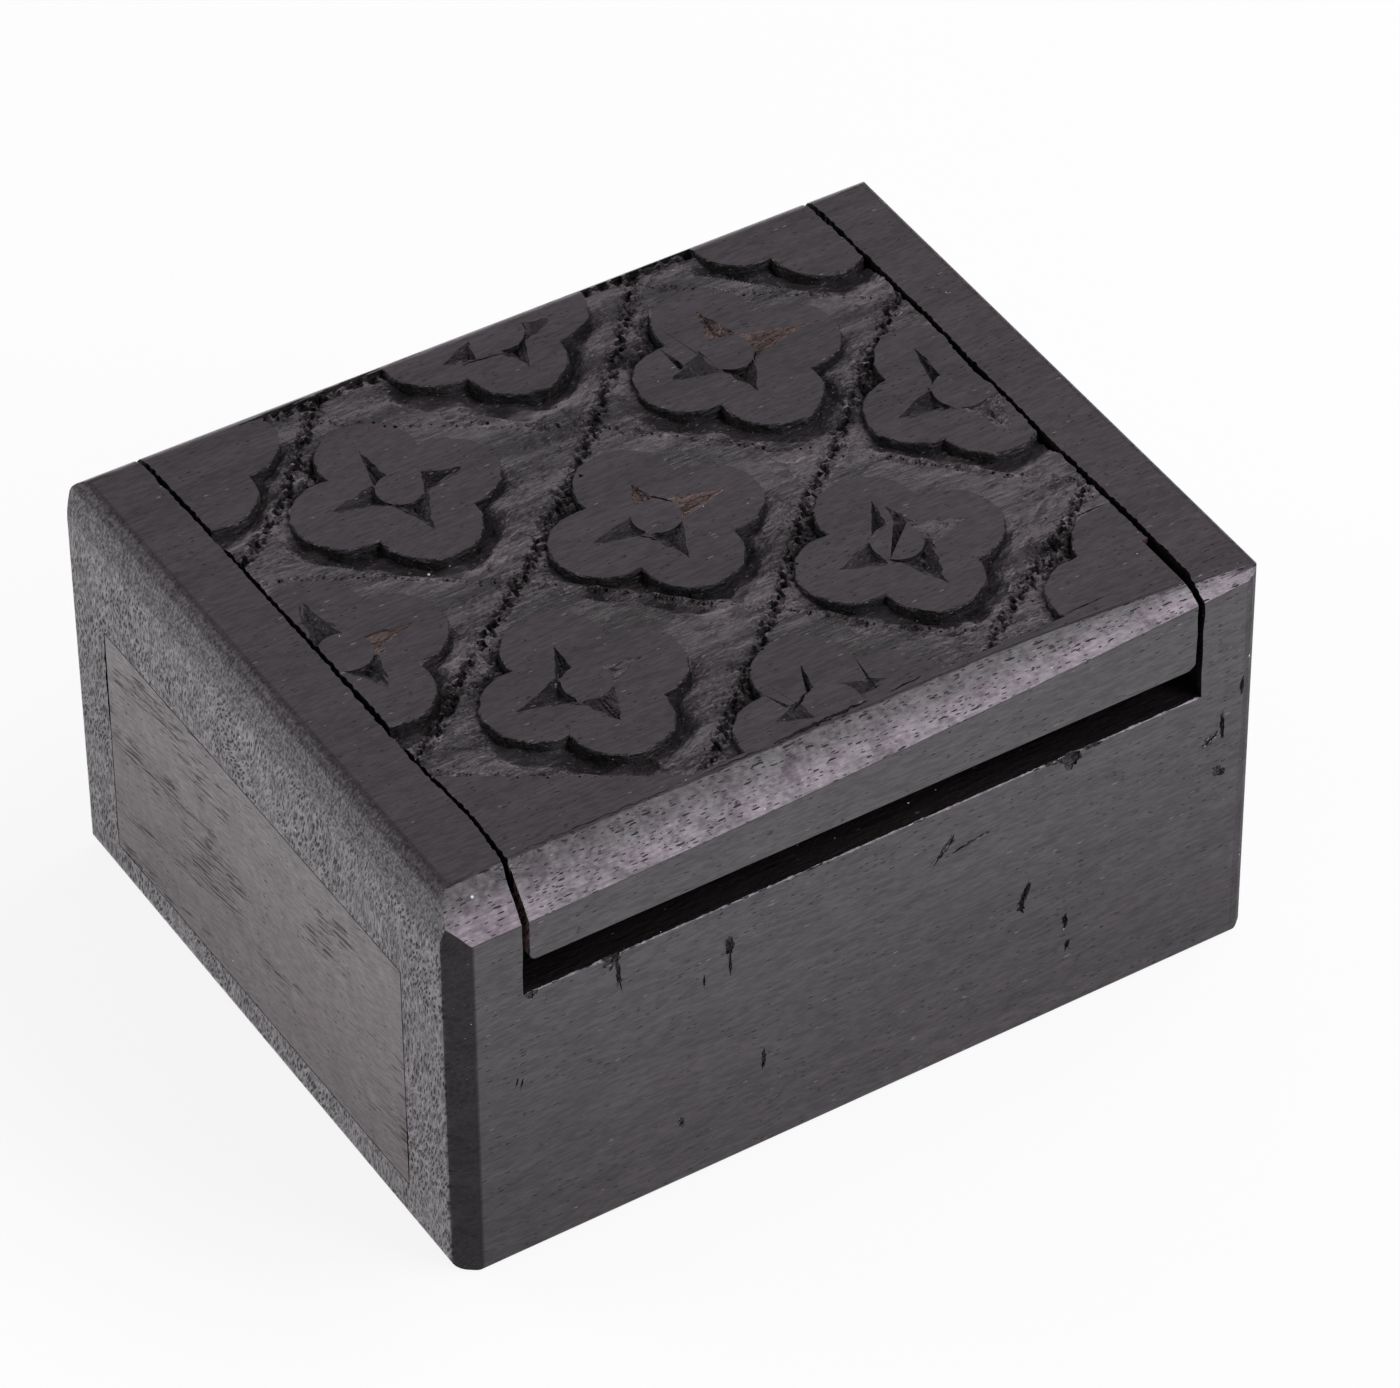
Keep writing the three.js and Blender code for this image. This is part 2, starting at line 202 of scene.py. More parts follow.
def rounded(corners):
    points = []
    for i, (x, y, radius) in enumerate(corners):
        corner = np.array([x, y], float)
        back = np.array(corners[i - 1][:2], float) - corner
        ahead = np.array(corners[(i + 1) % len(corners)][:2], float) - corner
        back /= np.linalg.norm(back)
        ahead /= np.linalg.norm(ahead)
        half = math.acos(np.clip(back @ ahead, -1, 1)) / 2
        start = corner + back * radius / math.tan(half)
        end = corner + ahead * radius / math.tan(half)
        inwards = (back + ahead) / np.linalg.norm(back + ahead)
        centre = corner + inwards * radius / math.sin(half)
        for step in range(ARC_STEPS + 1):
            share = step / ARC_STEPS
            spoke = (start - centre) * (1 - share) + (end - centre) * share
            points.append(centre + spoke * radius / np.linalg.norm(spoke))
    return np.array(points)


def seen_from_above(outline, z):
    return np.column_stack([outline[:, 0], outline[:, 1], np.full(len(outline), z)])


def seen_from_front(outline, y):
    return np.column_stack([outline[:, 0], np.full(len(outline), y), outline[:, 1]])


def seen_from_left(outline, x):
    return np.column_stack([np.full(len(outline), x), outline[:, 0], outline[:, 1]])


# %% [markdown]
# The block is not square: its rear and right faces lean in towards the foot, the right end is a
# little less deep, and the top falls to the right. It is shaped as a joiner would check it, from
# three sides. One solid has the right plan, one the right front view, one the right end view,
# and the block is what all three share. The end view changes along the block, because the bevel
# planed along the front is deep at the left and shallow at the right.

# %% The whole block, seen from three sides
CHAMFER_ON_FRONT, CHAMFER_ON_LEFT, CHAMFER_EDGE = 2.7, 2, 0.8
RIGHT_EDGE, REAR_LEFT_EDGE, REAR_RIGHT_EDGE = 3, 1.2, 1.5
TOP_RIGHT_EDGE, TOP_LEFT_EDGE = 1.2, 1.9
# The left end rolls over to the top: how far in, how far down, and the roll's radius
SHOULDER_IN, SHOULDER_DOWN, SHOULDER_ROLL = 1.5, 5, 9
END_VIEWS = 21


def plan_ring(z):
    lean = 1 - z / HEIGHT
    rear_lean = REAR_LEAN * lean
    right = RIGHT - RIGHT_LEAN * lean
    return seen_from_above(rounded([
        (LEFT + CHAMFER_ON_FRONT, FRONT, CHAMFER_EDGE),
        (right, FRONT, RIGHT_EDGE),
        (right, rear_at(RIGHT) - rear_lean, REAR_RIGHT_EDGE),
        (LEFT, REAR - rear_lean, REAR_LEFT_EDGE),
        (LEFT, FRONT + CHAMFER_ON_LEFT, CHAMFER_EDGE),
    ]), z)


def front_ring(y, left_foot):
    return seen_from_front(rounded([
        (LEFT, 0, left_foot),
        (RIGHT, 0, RIGHT_EDGE),
        (RIGHT, top_at(RIGHT), TOP_RIGHT_EDGE),
        (LEFT + SHOULDER_IN, top_at(LEFT + SHOULDER_IN), TOP_LEFT_EDGE),
        (LEFT, HEIGHT - SHOULDER_DOWN, SHOULDER_ROLL),
    ]), y)


def bevel_foot_at(x):
    t = (x - LEFT) / (RIGHT - LEFT)
    return 46.5 + 0.98 * t + 3.16 * t * t


def bevel_reach_at(x):
    t = (x - LEFT) / (RIGHT - LEFT)
    return 4.2 - 1.6 * max(0, (t - 0.65) / 0.35) ** 1.5


def end_ring(x):
    foot = np.array([FRONT, bevel_foot_at(x)])
    head = np.array([FRONT + bevel_reach_at(x), top_at(x)])
    along = head - foot
    swell = np.array([-along[1], along[0]]) / np.linalg.norm(along)
    outline = rounded([
        (FRONT, 0, 0.5),
        (rear_at(x) - REAR_LEAN, 0, 1.5),
        (rear_at(x), top_at(x), 2.0),
        (*head, 1.4 + 5 * max(0, (x - 15) / 35) ** 2),
        (*(foot + along * 0.72 + swell * 0.2), 1.5),
        (*(foot + along * 0.25 + swell * 0.16), 1.5),
        (*foot, 0.3),
    ])
    return seen_from_left(outline, x)


def whole_block(name):
    block = solid(name, [plan_ring(0), plan_ring(HEIGHT)])
    cut(block, solid("front_view", [front_ring(FRONT - PAST, 1.2), front_ring(REAR + PAST, 2.9)]),
        "INTERSECT")
    stations = np.linspace(LEFT - 5, RIGHT + 5, END_VIEWS)
    cut(block, solid("end_view", [end_ring(x) for x in stations]), "INTERSECT")
    return leaves(block, SANDED)


# %% [markdown]
# The lid was freed with a narrow saw that wandered. Each side of each cut is drawn as a line of
# points along its length, and gets a little roughness of its own, so the gap opens and closes as
# the real one does. The roughness comes from a few waves of different lengths laid over each
# other, which gives the same wander every time the script runs.

# %% The wandering saw cuts
def drift(points, size, seed):
    """A number near -1 to 1 that changes smoothly over the points, a lump every `size`."""
    dice = np.random.default_rng(seed)
    points = np.atleast_2d(points)
    total = np.zeros(len(points))
    for _ in range(8):
        direction = dice.normal(size=points.shape[1])
        direction *= dice.uniform(0.6, 1.5) / (size * np.linalg.norm(direction))
        total += np.sin(2 * math.pi * (points @ direction + dice.random()))
    return total / 3.2


SAW_MARKS = [-42, -39.2, -37, -36, -33, -28, -20, -10, -4, 0, 4, 10, 20, 30, 38, 42]
LEFT_STRIP = [-41.56, -41.53, -41.36, -41.22, -40.86, -40.51, -40.95, -41.01, -40.91, -40.86,
              -40.9, -40.95, -40.96, -41.15, -41.41, -41.46]
LID_LEFT = [-40.85, -40.85, -40.68, -40.52, -40.26, -40.05, -40.45, -40.3, -40.35, -40.35, -40.4,
            -40.5, -40.45, -40.55, -40.85, -40.85]
LID_RIGHT = [41.22, 41.22, 41.4, 41.5, 41.6, 41.98, 41.96, 41.81, 41.94, 42.04, 41.73, 42.18,
             42.21, 42.16, 41.79, 41.75]
RIGHT_STRIP = [41.98, 41.98, 42.25, 42.5, 42.65, 42.7, 42.57, 42.42, 42.49, 42.59, 42.57, 42.78,
               42.76, 42.71, 42.48, 42.46]
SAW_STEP = 0.3
SAW_WANDER = 0.17


def sawn(line, z, seed):
    """One wall of a saw cut at height z: x for every step along y."""
    y = np.arange(FRONT - 3, REAR + 3, SAW_STEP)
    place = np.column_stack([y, np.full(len(y), z)])
    rough = 0.1 * drift(place, 1.1, seed) + 0.07 * drift(place, 3.1, seed + 1)
    rough = np.clip(rough, -SAW_WANDER, SAW_WANDER)
    return np.column_stack([np.interp(y, SAW_MARKS, line) + rough, y])


def between_saw_cuts(name, left, right, heights, seed):
    rings = []
    for z in heights:
        walls = sawn(left, z, seed), sawn(right, z, seed + 7)[::-1]
        rings.append(seen_from_above(np.concatenate(walls), z))
    return leaves(solid(name, rings), SAWN)


# %% [markdown]
# The carcass is the block less its hollow, less the place of the lid, less the mouth through
# which the hollow opens upwards, and less the two holes for the pivot pins. The worn edge of the
# sill is a last, very thin cut: that edge catches the light all along the finger slot.

# %% The carcass
PIN_HOLE, PLUG_HOLE, PLUG_LENGTH = 1.15, 1.02, 1.7
MOUTH_LEFT, MOUTH_RIGHT = -41.05, 41.95
WEAR_LEFT, WEAR_STEP = -41.0, 0.4


def box_between(name, low, high, finish):
    middle = [(a + b) / 2 for a, b in zip(low, high)]
    size = [b - a for a, b in zip(low, high)]
    piece = added(bpy.ops.mesh.primitive_cube_add, size=1, location=middle, scale=size)
    piece.name = name
    bpy.ops.object.transform_apply(location=True, rotation=True, scale=True)
    return leaves(piece, finish)


def pin_hole(x0, x1, radius):
    hole = added(bpy.ops.mesh.primitive_cylinder_add, vertices=24, radius=radius, depth=x1 - x0,
                 location=((x0 + x1) / 2, PIVOT_Y, PIVOT_Z), rotation=(0, math.pi / 2, 0))
    bpy.ops.object.transform_apply(location=True, rotation=True, scale=True)
    return leaves(hole, DEEP)


def sill_wear():
    rings = []
    for x in np.arange(WEAR_LEFT, MOUTH_RIGHT, WEAR_STEP):
        worn = max(0.06, 0.12 + 0.05 * drift([[x]], 3, 21)[0] + 0.05 * drift([[x]], 0.9, 22)[0])
        rings.append([
            (x, FRONT - 1, SILL - worn - 1),
            (x, FRONT + worn + 1, SILL + 1),
            (x, FRONT - 1, SILL + 1),
        ])
    return leaves(solid("sill_wear", rings), SANDED)


carcass = whole_block("box_carcass")
cut(carcass, box_between("hollow", (LEFT - PAST, HOLLOW_FRONT, FLOOR),
                         (RIGHT + PAST, HOLLOW_REAR, HOLLOW_TOP), INSIDE))
SAWN_HEIGHTS = (SILL, 40, 43, 46, 48.5, 51, 55)
cut(carcass, between_saw_cuts("lid_place", LEFT_STRIP, RIGHT_STRIP, SAWN_HEIGHTS, 3))
cut(carcass, box_between("mouth", (MOUTH_LEFT, HOLLOW_FRONT, FLOOR),
                         (MOUTH_RIGHT, HOLLOW_REAR, SILL + 0.1), INSIDE))
cut(carcass, pin_hole(LEFT + PLUG_LENGTH, RIGHT - PLUG_LENGTH, PIN_HOLE))
cut(carcass, pin_hole(LEFT - PAST, RIGHT + PAST, PLUG_HOLE))
cut(carcass, sill_wear())
print("carcass faces:", len(carcass.data.polygons))

# %% [markdown]
# The end boards are fitted tightly, but time has opened the joint along two of their edges. A
# thin wedge is taken from the block there, wider in the middle than at its ends.

# %% Where the end board's joint has opened
JOINT_STEPS = 24


def open_joint(y, low, high, width):
    heights = np.linspace(low, high, JOINT_STEPS)
    shares = np.linspace(0, math.pi, JOINT_STEPS)
    wide = width * np.sin(shares) ** 0.5 * (1 + 0.3 * drift(heights[:, None], 2.5, 61)) + 0.02
    inner = np.column_stack([np.full(JOINT_STEPS, y), heights])
    outer = np.column_stack([y + wide, heights])[::-1]
    outline = np.concatenate([inner, outer])
    return leaves(solid("open_joint", [seen_from_left(outline, LEFT - 1),
                                       seen_from_left(outline, LEFT + 2)]), SAWN)


cut(carcass, open_joint(HOLLOW_REAR - 0.1, 22.5, 36.2, 0.32))
cut(carcass, open_joint(HOLLOW_FRONT + 0.1, 5.6, 17, -0.26))

# %% [markdown]
# Seen from the side the lid is a thin lip over the front wall, a thick middle that drops into
# the hollow, and a rear end rounded about the pivot, so that it clears the rear wall as it
# turns. It is cut from the same block as the carcass, so the two tops stay flush.

# %% The lid before it is carved
CLEAR, SWING = 0.5, 7.75
LIP_LEFT, LIP_RIGHT = -40.6, 41.3
LID_CUT_AT = 43
LID_PIN_HOLE, PIN_REACH = 1.3, 16.2


def lid_side():
    arc = [(PIVOT_Y + SWING * math.sin(a), PIVOT_Z - SWING * math.cos(a))
           for a in np.linspace(0, math.pi / 2, 16)]
    return np.array([
        (HOLLOW_FRONT + CLEAR, LID_UNDERSIDE), (HOLLOW_REAR - CLEAR, LID_UNDERSIDE),
        (HOLLOW_REAR - CLEAR, PIVOT_Z - SWING), *arc,
        (PIVOT_Y + SWING, HEIGHT + PAST), (HOLLOW_FRONT + CLEAR, HEIGHT + PAST)])


lip_outline = rounded([(LIP_LEFT, LIP_UNDERSIDE, 0.8), (LIP_RIGHT, LIP_UNDERSIDE, 1.4),
                       (LIP_RIGHT, HEIGHT + PAST, 0.1), (LIP_LEFT, HEIGHT + PAST, 0.1)])
lid_body = solid("lid_body", [seen_from_left(lid_side(), x) for x in (-LID_CUT_AT, LID_CUT_AT)])
lip = solid("lip", [seen_from_front(lip_outline, FRONT - PAST),
                    seen_from_front(lip_outline, HOLLOW_FRONT + 2)])
cut(lid_body, lip, "UNION")
lid = whole_block("carved_lid")
cut(lid, leaves(lid_body, INSIDE), "INTERSECT")
cut(lid, between_saw_cuts("lid_sides", LID_LEFT, LID_RIGHT, (30, *SAWN_HEIGHTS[1:]), 33),
    "INTERSECT")
for x0, x1 in ((LEFT, LEFT + PIN_REACH), (RIGHT - PIN_REACH, RIGHT)):
    cut(lid, pin_hole(x0, x1, LID_PIN_HOLE))
print("plain lid faces:", len(lid.data.polygons))

# %% [markdown]
# The flowers were set out by eye, so no two are alike. Each is given by its centre and by how
# far its four lobes reach. Its outline is the farthest point of four overlapping circles in
# every direction, which is how a carver draws a quatrefoil.

# %% The flowers as they were set out
# x, y, then how far the centres of the right, rear, left and front lobes lie from the middle
FLOWERS = [
    (-20.5, 19.2, 5.9, 6.6, 6.8, 6.1),
    (21.6, 18.9, 6.5, 7.1, 6.6, 6.6),
    (0.3, 0.8, 6.4, 6.6, 7.0, 6.2),
    (-19.6, -17.1, 5.6, 6.4, 6.4, 6.3),
    (19.6, -16.3, 6.2, 6.5, 6.6, 5.6),
    (1.0, 37.2, 6.3, 6.4, 7.0, 6.0),
    (0.3, -34.2, 6.3, 6.6, 6.2, 6.4),
    (-38.2, 0.6, 6.0, 6.4, 6.4, 7.4),
    (38.6, 1.5, 6.4, 6.4, 5.6, 5.3),
    (-38.3, 35.6, 6.1, 6.4, 6.4, 5.8),
    (39.3, 36.9, 6.4, 6.4, 6.5, 6.0),
    (40.0, -33.3, 6.4, 5.3, 6.8, 6.4),
]
LOBE_RADIUS = 5.8
OUTLINE_STEPS = 200


def lobes(flower):
    x, y, right, rear, left, front = flower
    return [(x + right, y), (x, y + rear), (x - left, y), (x, y - front)]


def quatrefoil(flower, grow, seed, ragged=0.0):
    """The flower's outline, `grow` mm outside its drawn line, as seen from above."""
    angles = np.linspace(0, 2 * math.pi, OUTLINE_STEPS, endpoint=False)
    reach = np.zeros(OUTLINE_STEPS)
    middle = np.array(flower[:2])
    for lobe in lobes(flower):
        offset = np.array(lobe) - middle
        along = offset[0] * np.cos(angles) + offset[1] * np.sin(angles)
        across = offset @ offset - along ** 2
        radius = LOBE_RADIUS + grow
        hits = across < radius ** 2
        reach[hits] = np.maximum(reach[hits], along[hits] + np.sqrt(radius ** 2 - across[hits]))
    circle = np.column_stack([np.cos(angles), np.sin(angles)])
    reach += 0.1 * drift(circle * 8, 3.2, seed) + 0.06 * drift(circle * 8, 1.2, seed + 1)
    reach += ragged * drift(circle * 8, 0.9, seed + 500 + round(grow * 100))
    return middle + circle * reach[:, None]


# %% [markdown]
# Lines of punched dots divide the lid into diamonds, one flower in each. These are the lines,
# four leaning one way and four the other, each as a few points along its length.

# %% Where the lattice lines run
RISING_LINES = [
    [(-42, 17.1), (-33.9, 22.6), (-28.4, 28.2), (-22.9, 34.2), (-18.8, 38.2)],
    [(-42, -18.9), (-36.9, -14.9), (-30.9, -9.8), (-24.9, -5.3), (-17.8, -0.2), (-9.8, 6.3),
     (-3.8, 11.4), (2.3, 17.4), (8.3, 23.5), (15.3, 31.5), (19.3, 36.6), (21.4, 39.6)],
    [(-18.8, -36.8), (-12.8, -31.7), (-4.8, -24.6), (1.8, -18.6), (8.3, -12), (14.3, -5.5),
     (21.4, 0.1), (31.4, 9.2), (38.4, 15.7), (43.5, 19.7)],
    [(16.3, -36.5), (22.4, -31.4), (33.4, -24.3), (40.4, -19.3), (44.5, -16.2)],
]
FALLING_LINES = [
    [(-42, 15.6), (-29.9, 9.2), (-22.9, 4.2), (-17.8, -0.2), (-11.8, -3.7), (-4.8, -10.1),
     (1.8, -16.6), (7.3, -21), (12.3, -26.5), (20.3, -32.4), (24.4, -36.4)],
    [(-26.9, 37.7), (-22.9, 34.2), (-16.8, 29.8), (-9.8, 25.3), (-2.8, 20.9), (2.3, 17.4),
     (8.3, 12), (15.3, 6), (21.4, 0.1), (27.4, -3.9), (35.4, -12.3), (40.4, -16.8),
     (44.5, -19.2)],
    [(-44, -18), (-37.9, -21.9), (-32.9, -25.4), (-24.9, -30.8), (-16.8, -36.7)],
    [(15.3, 38), (21.4, 33.1), (27.4, 28.1), (35.4, 22.7), (40.4, 18.7), (44.5, 15.8)],
]


def to_line(points, line):
    """How far each point is from a line of straight stretches."""
    nearest = np.full(len(points), 1e9)
    for a, b in zip(np.array(line[:-1], float), np.array(line[1:], float)):
        share = np.clip((points - a) @ (b - a) / ((b - a) @ (b - a)), 0, 1)
        gap = np.linalg.norm(points - a - share[:, None] * (b - a), axis=1)
        nearest = np.minimum(nearest, gap)
    return nearest


def to_lines(points, lines):
    return np.min([to_line(points, line) for line in lines], axis=0)


def to_flowers(points):
    """How far the nearest flower's edge is, and in which direction it is passed, in degrees."""
    gaps = []
    turns = []
    for flower in FLOWERS:
        gaps.append(np.min([np.linalg.norm(points - np.array(lobe), axis=1) - LOBE_RADIUS
                            for lobe in lobes(flower)], axis=0))
        turns.append(np.degrees(np.arctan2(points[:, 1] - flower[1], points[:, 0] - flower[0])))
    nearest = np.argmin(gaps, axis=0)[None]
    pick = [np.take_along_axis(np.array(rows), nearest, axis=0)[0] for rows in (gaps, turns)]
    return np.maximum(pick[0], 0), pick[1]


# %% [markdown]
# The ground was not cut evenly. The carver always worked from the same side: round the front
# and left of a flower the gouge went deep, straight down along the outline and then up again to
# the lattice line. On its rear right the wood was left as high as the flower, so that side has
# no edge at all. These tables give, for each direction round a flower, how much of the full
# depth was cut, how far the cut reaches, and how hollow its slope is.

# %% How deep the ground lies
WALL_DEPTH, LINE_DEPTH, TERRACE_DEPTH = 1.35, 0.12, 0.16
# How deep the wood is torn along the two kinds of lines, beside the flowers and at the rear edge
RISING_TEAR, FALLING_TEAR, FLOWER_TEAR, REAR_TEAR = 0.9, 0.4, 0.7, 0.9
CARVED_FRONT, CARVED_REAR, TROUGH_FRONT = -34.8, 37.6, 36.3
# Degrees from the right, anticlockwise; then the share, the reach in mm and the hollowness
AROUND = [-180, -165, -150, -105, -80, -40, -24, -10, 4, 92, 106, 122, 148, 160, 180]
SHARE = [0.5, 0.85, 1, 1, 1, 1, 0.75, 0.1, 0, 0, 0.2, 0.75, 0.75, 0.35, 0.5]
REACH = [2.6, 3.2, 4.3, 4.3, 3.2, 2.6, 2.2, 1.6, 1.5, 1.5, 1.8, 2.4, 2.4, 2, 2.6]
HOLLOW = [1.2, 1.6, 1.9, 1.9, 1.3, 0.9, 0.8, 0.8, 0.8, 0.8, 0.8, 0.9, 0.9, 0.9, 1.2]


def torn(points, size, seed, threshold):
    """Ragged pits: nothing over most of the ground, rising to about 1 inside each pit."""
    return np.clip(drift(points, size, seed) - threshold, 0, 1)


def tool_marks(points, turn):
    """Fine grooves that run along the lattice lines, as the gouge did."""
    rising = (points[:, 0] + points[:, 1]) / math.sqrt(2)
    falling = (points[:, 0] - points[:, 1]) / math.sqrt(2)
    with_falling = np.sin(np.radians(2 * turn)) > 0
    along = np.where(with_falling, falling, rising)
    across = np.where(with_falling, rising, falling)
    wide = drift(np.column_stack([along * 0.22, across]), 1.3, 53)
    fine = drift(np.column_stack([along * 0.4, across]), 0.75, 54)
    return 0.11 * wide + 0.09 * fine


def ground_depth(points):
    off_flower, turn = to_flowers(points)
    off_rising = to_lines(points, RISING_LINES)
    off_falling = to_lines(points, FALLING_LINES)
    off_line = np.minimum(off_rising, off_falling)
    share, reach, hollow = (np.interp(turn, AROUND, row) for row in (SHARE, REACH, HOLLOW))
    share = share * (1 + 0.22 * drift(points, 5, 59))
    out = np.clip(off_flower / np.minimum(off_flower + off_line + 1e-6, reach), 0, 1)
    plain = 0.01 + (LINE_DEPTH - 0.01) * np.clip(off_flower / 3.2, 0, 1)
    depth = plain + share * (WALL_DEPTH - plain) * (1 - out ** hollow)
    depth = np.minimum(depth, LINE_DEPTH + 1.3 * off_line)

    wild = np.maximum(share, np.clip(off_flower / 3.2 - 0.15, 0, 1))
    depth += wild * tool_marks(points, turn)
    terrace = (off_flower / 0.95 + 0.6 * drift(points, 6, 51)) % 1
    depth += TERRACE_DEPTH * (terrace - 0.5) * share * np.clip(1.5 - off_flower / 2.2, 0, 1)
    depth += RISING_TEAR * torn(points, 0.9, 55, -0.2) * np.exp(-(off_rising / 0.8) ** 2)
    depth += FALLING_TEAR * torn(points, 0.9, 56, 0.2) * np.exp(-(off_falling / 0.7) ** 2)
    left_rear = np.clip(1 - np.abs(turn - 135) / 35, 0, 1) * np.clip(1.4 - off_flower / 2.2, 0, 1)
    depth += FLOWER_TEAR * torn(points, 0.95, 57, 0.0) * left_rear
    in_trough = points[:, 1] > TROUGH_FRONT
    depth += REAR_TEAR * torn(points * [0.45, 1], 0.8, 58, -0.5) * in_trough

    ladder = np.exp(-((points[:, 0] - 32.5) / 2.4) ** 2 - ((points[:, 1] + 24.9) / 1.7) ** 2)
    depth += 0.22 * ladder * np.sin(2 * math.pi * (points[:, 0] + points[:, 1]) / 1.15)
    corner = np.minimum((points[:, 0] + 33) * 0.62 + (points[:, 1] + 25.3), 3)
    in_corner = (points[:, 0] < -15) & (points[:, 1] < -18)
    return np.where(in_corner & (corner < 0), np.maximum(LINE_DEPTH + corner * 0.6, -0.6), depth)


# %% [markdown]
# A fine grid takes that depth and is closed to a solid. Less the flowers, that solid is
# everything the carver took away. The flowers' own walls lean out a little and take the deep
# finish, painted near black as shade, but their topmost rim is worn and catches the light, so it
# keeps the lighter finish of the ground.

# %% The wood that the carver takes away
GROUND_LEFT, GROUND_RIGHT, GROUND_SPACING = -43.0, 43.5, 0.28
ABOVE_TOP = 3
# Height over the top, how far outside the drawn outline, and how ragged
CORE_LEVELS = [(-6, 0.4, 0), (-1.3, 0.14, 0.05), (-0.34, 0.02, 0.06), (-0.12, -0.05, 0.07),
               (0.02, -0.2, 0.06), (5, -0.3, 0.06)]
WORN_FROM, WORN_TO = -0.3, 0.2


def carved_ground(spacing):
    low, high = (GROUND_LEFT, CARVED_FRONT), (GROUND_RIGHT, CARVED_REAR)
    across, along = high[0] - low[0], high[1] - low[1]
    ground = added(bpy.ops.mesh.primitive_grid_add, x_subdivisions=round(across / spacing),
                   y_subdivisions=round(along / spacing), size=1)
    ground.name = "carved_ground"
    points = points_of(ground)
    points[:, 0] = (points[:, 0] + 0.5) * across + low[0]
    points[:, 1] = (points[:, 1] + 0.5) * along + low[1]
    points[:, 2] = -ground_depth(points[:, :2])
    move_points(ground, points)
    count = len(points)
    in_edit_mode(ground, bpy.ops.mesh.region_to_loop, bpy.ops.mesh.extrude_region_move)
    points = points_of(ground)
    points[count:, 2] = ABOVE_TOP
    move_points(ground, points)
    only(ground)
    bpy.ops.object.mode_set(mode="EDIT")
    bpy.ops.mesh.edge_face_add()
    bpy.ops.object.mode_set(mode="OBJECT")
    return leaves(facing_out(ground), GOUGED)


def flower_core(flower, seed):
    core = solid("flower", [seen_from_above(quatrefoil(flower, grow, seed, ragged), z)
                            for z, grow, ragged in CORE_LEVELS])
    leaves(core, DEEP)
    for face in core.data.polygons:
        if WORN_FROM < face.center.z < WORN_TO:
            face.material_index = GOUGED
    return core


ground = carved_ground(GROUND_SPACING)
for number, flower in enumerate(FLOWERS):
    cut(ground, flower_core(flower, 60 + 3 * number))
print("carved ground faces:", len(ground.data.polygons))

# %% [markdown]
# A star of chips is cut into most flowers. The carver first presses a round gouge straight down
# to outline a middle disc, then slides a flat chisel down to that stop cut from each lobe. So a
# chip is a three-sided pit that is deepest against the disc. It starts as a cone with three
# sides, whose corners are moved to the pit's corners. It is then subdivided and made uneven.
# Neighbours overlap under the disc, so they are united first: a cutter may not overlap itself.
# For the same reason the finest roughness only lifts and lowers points and moves none aside.
# Each chip is listed as it was cut: its far tip, its two corners at the disc, and its depth.

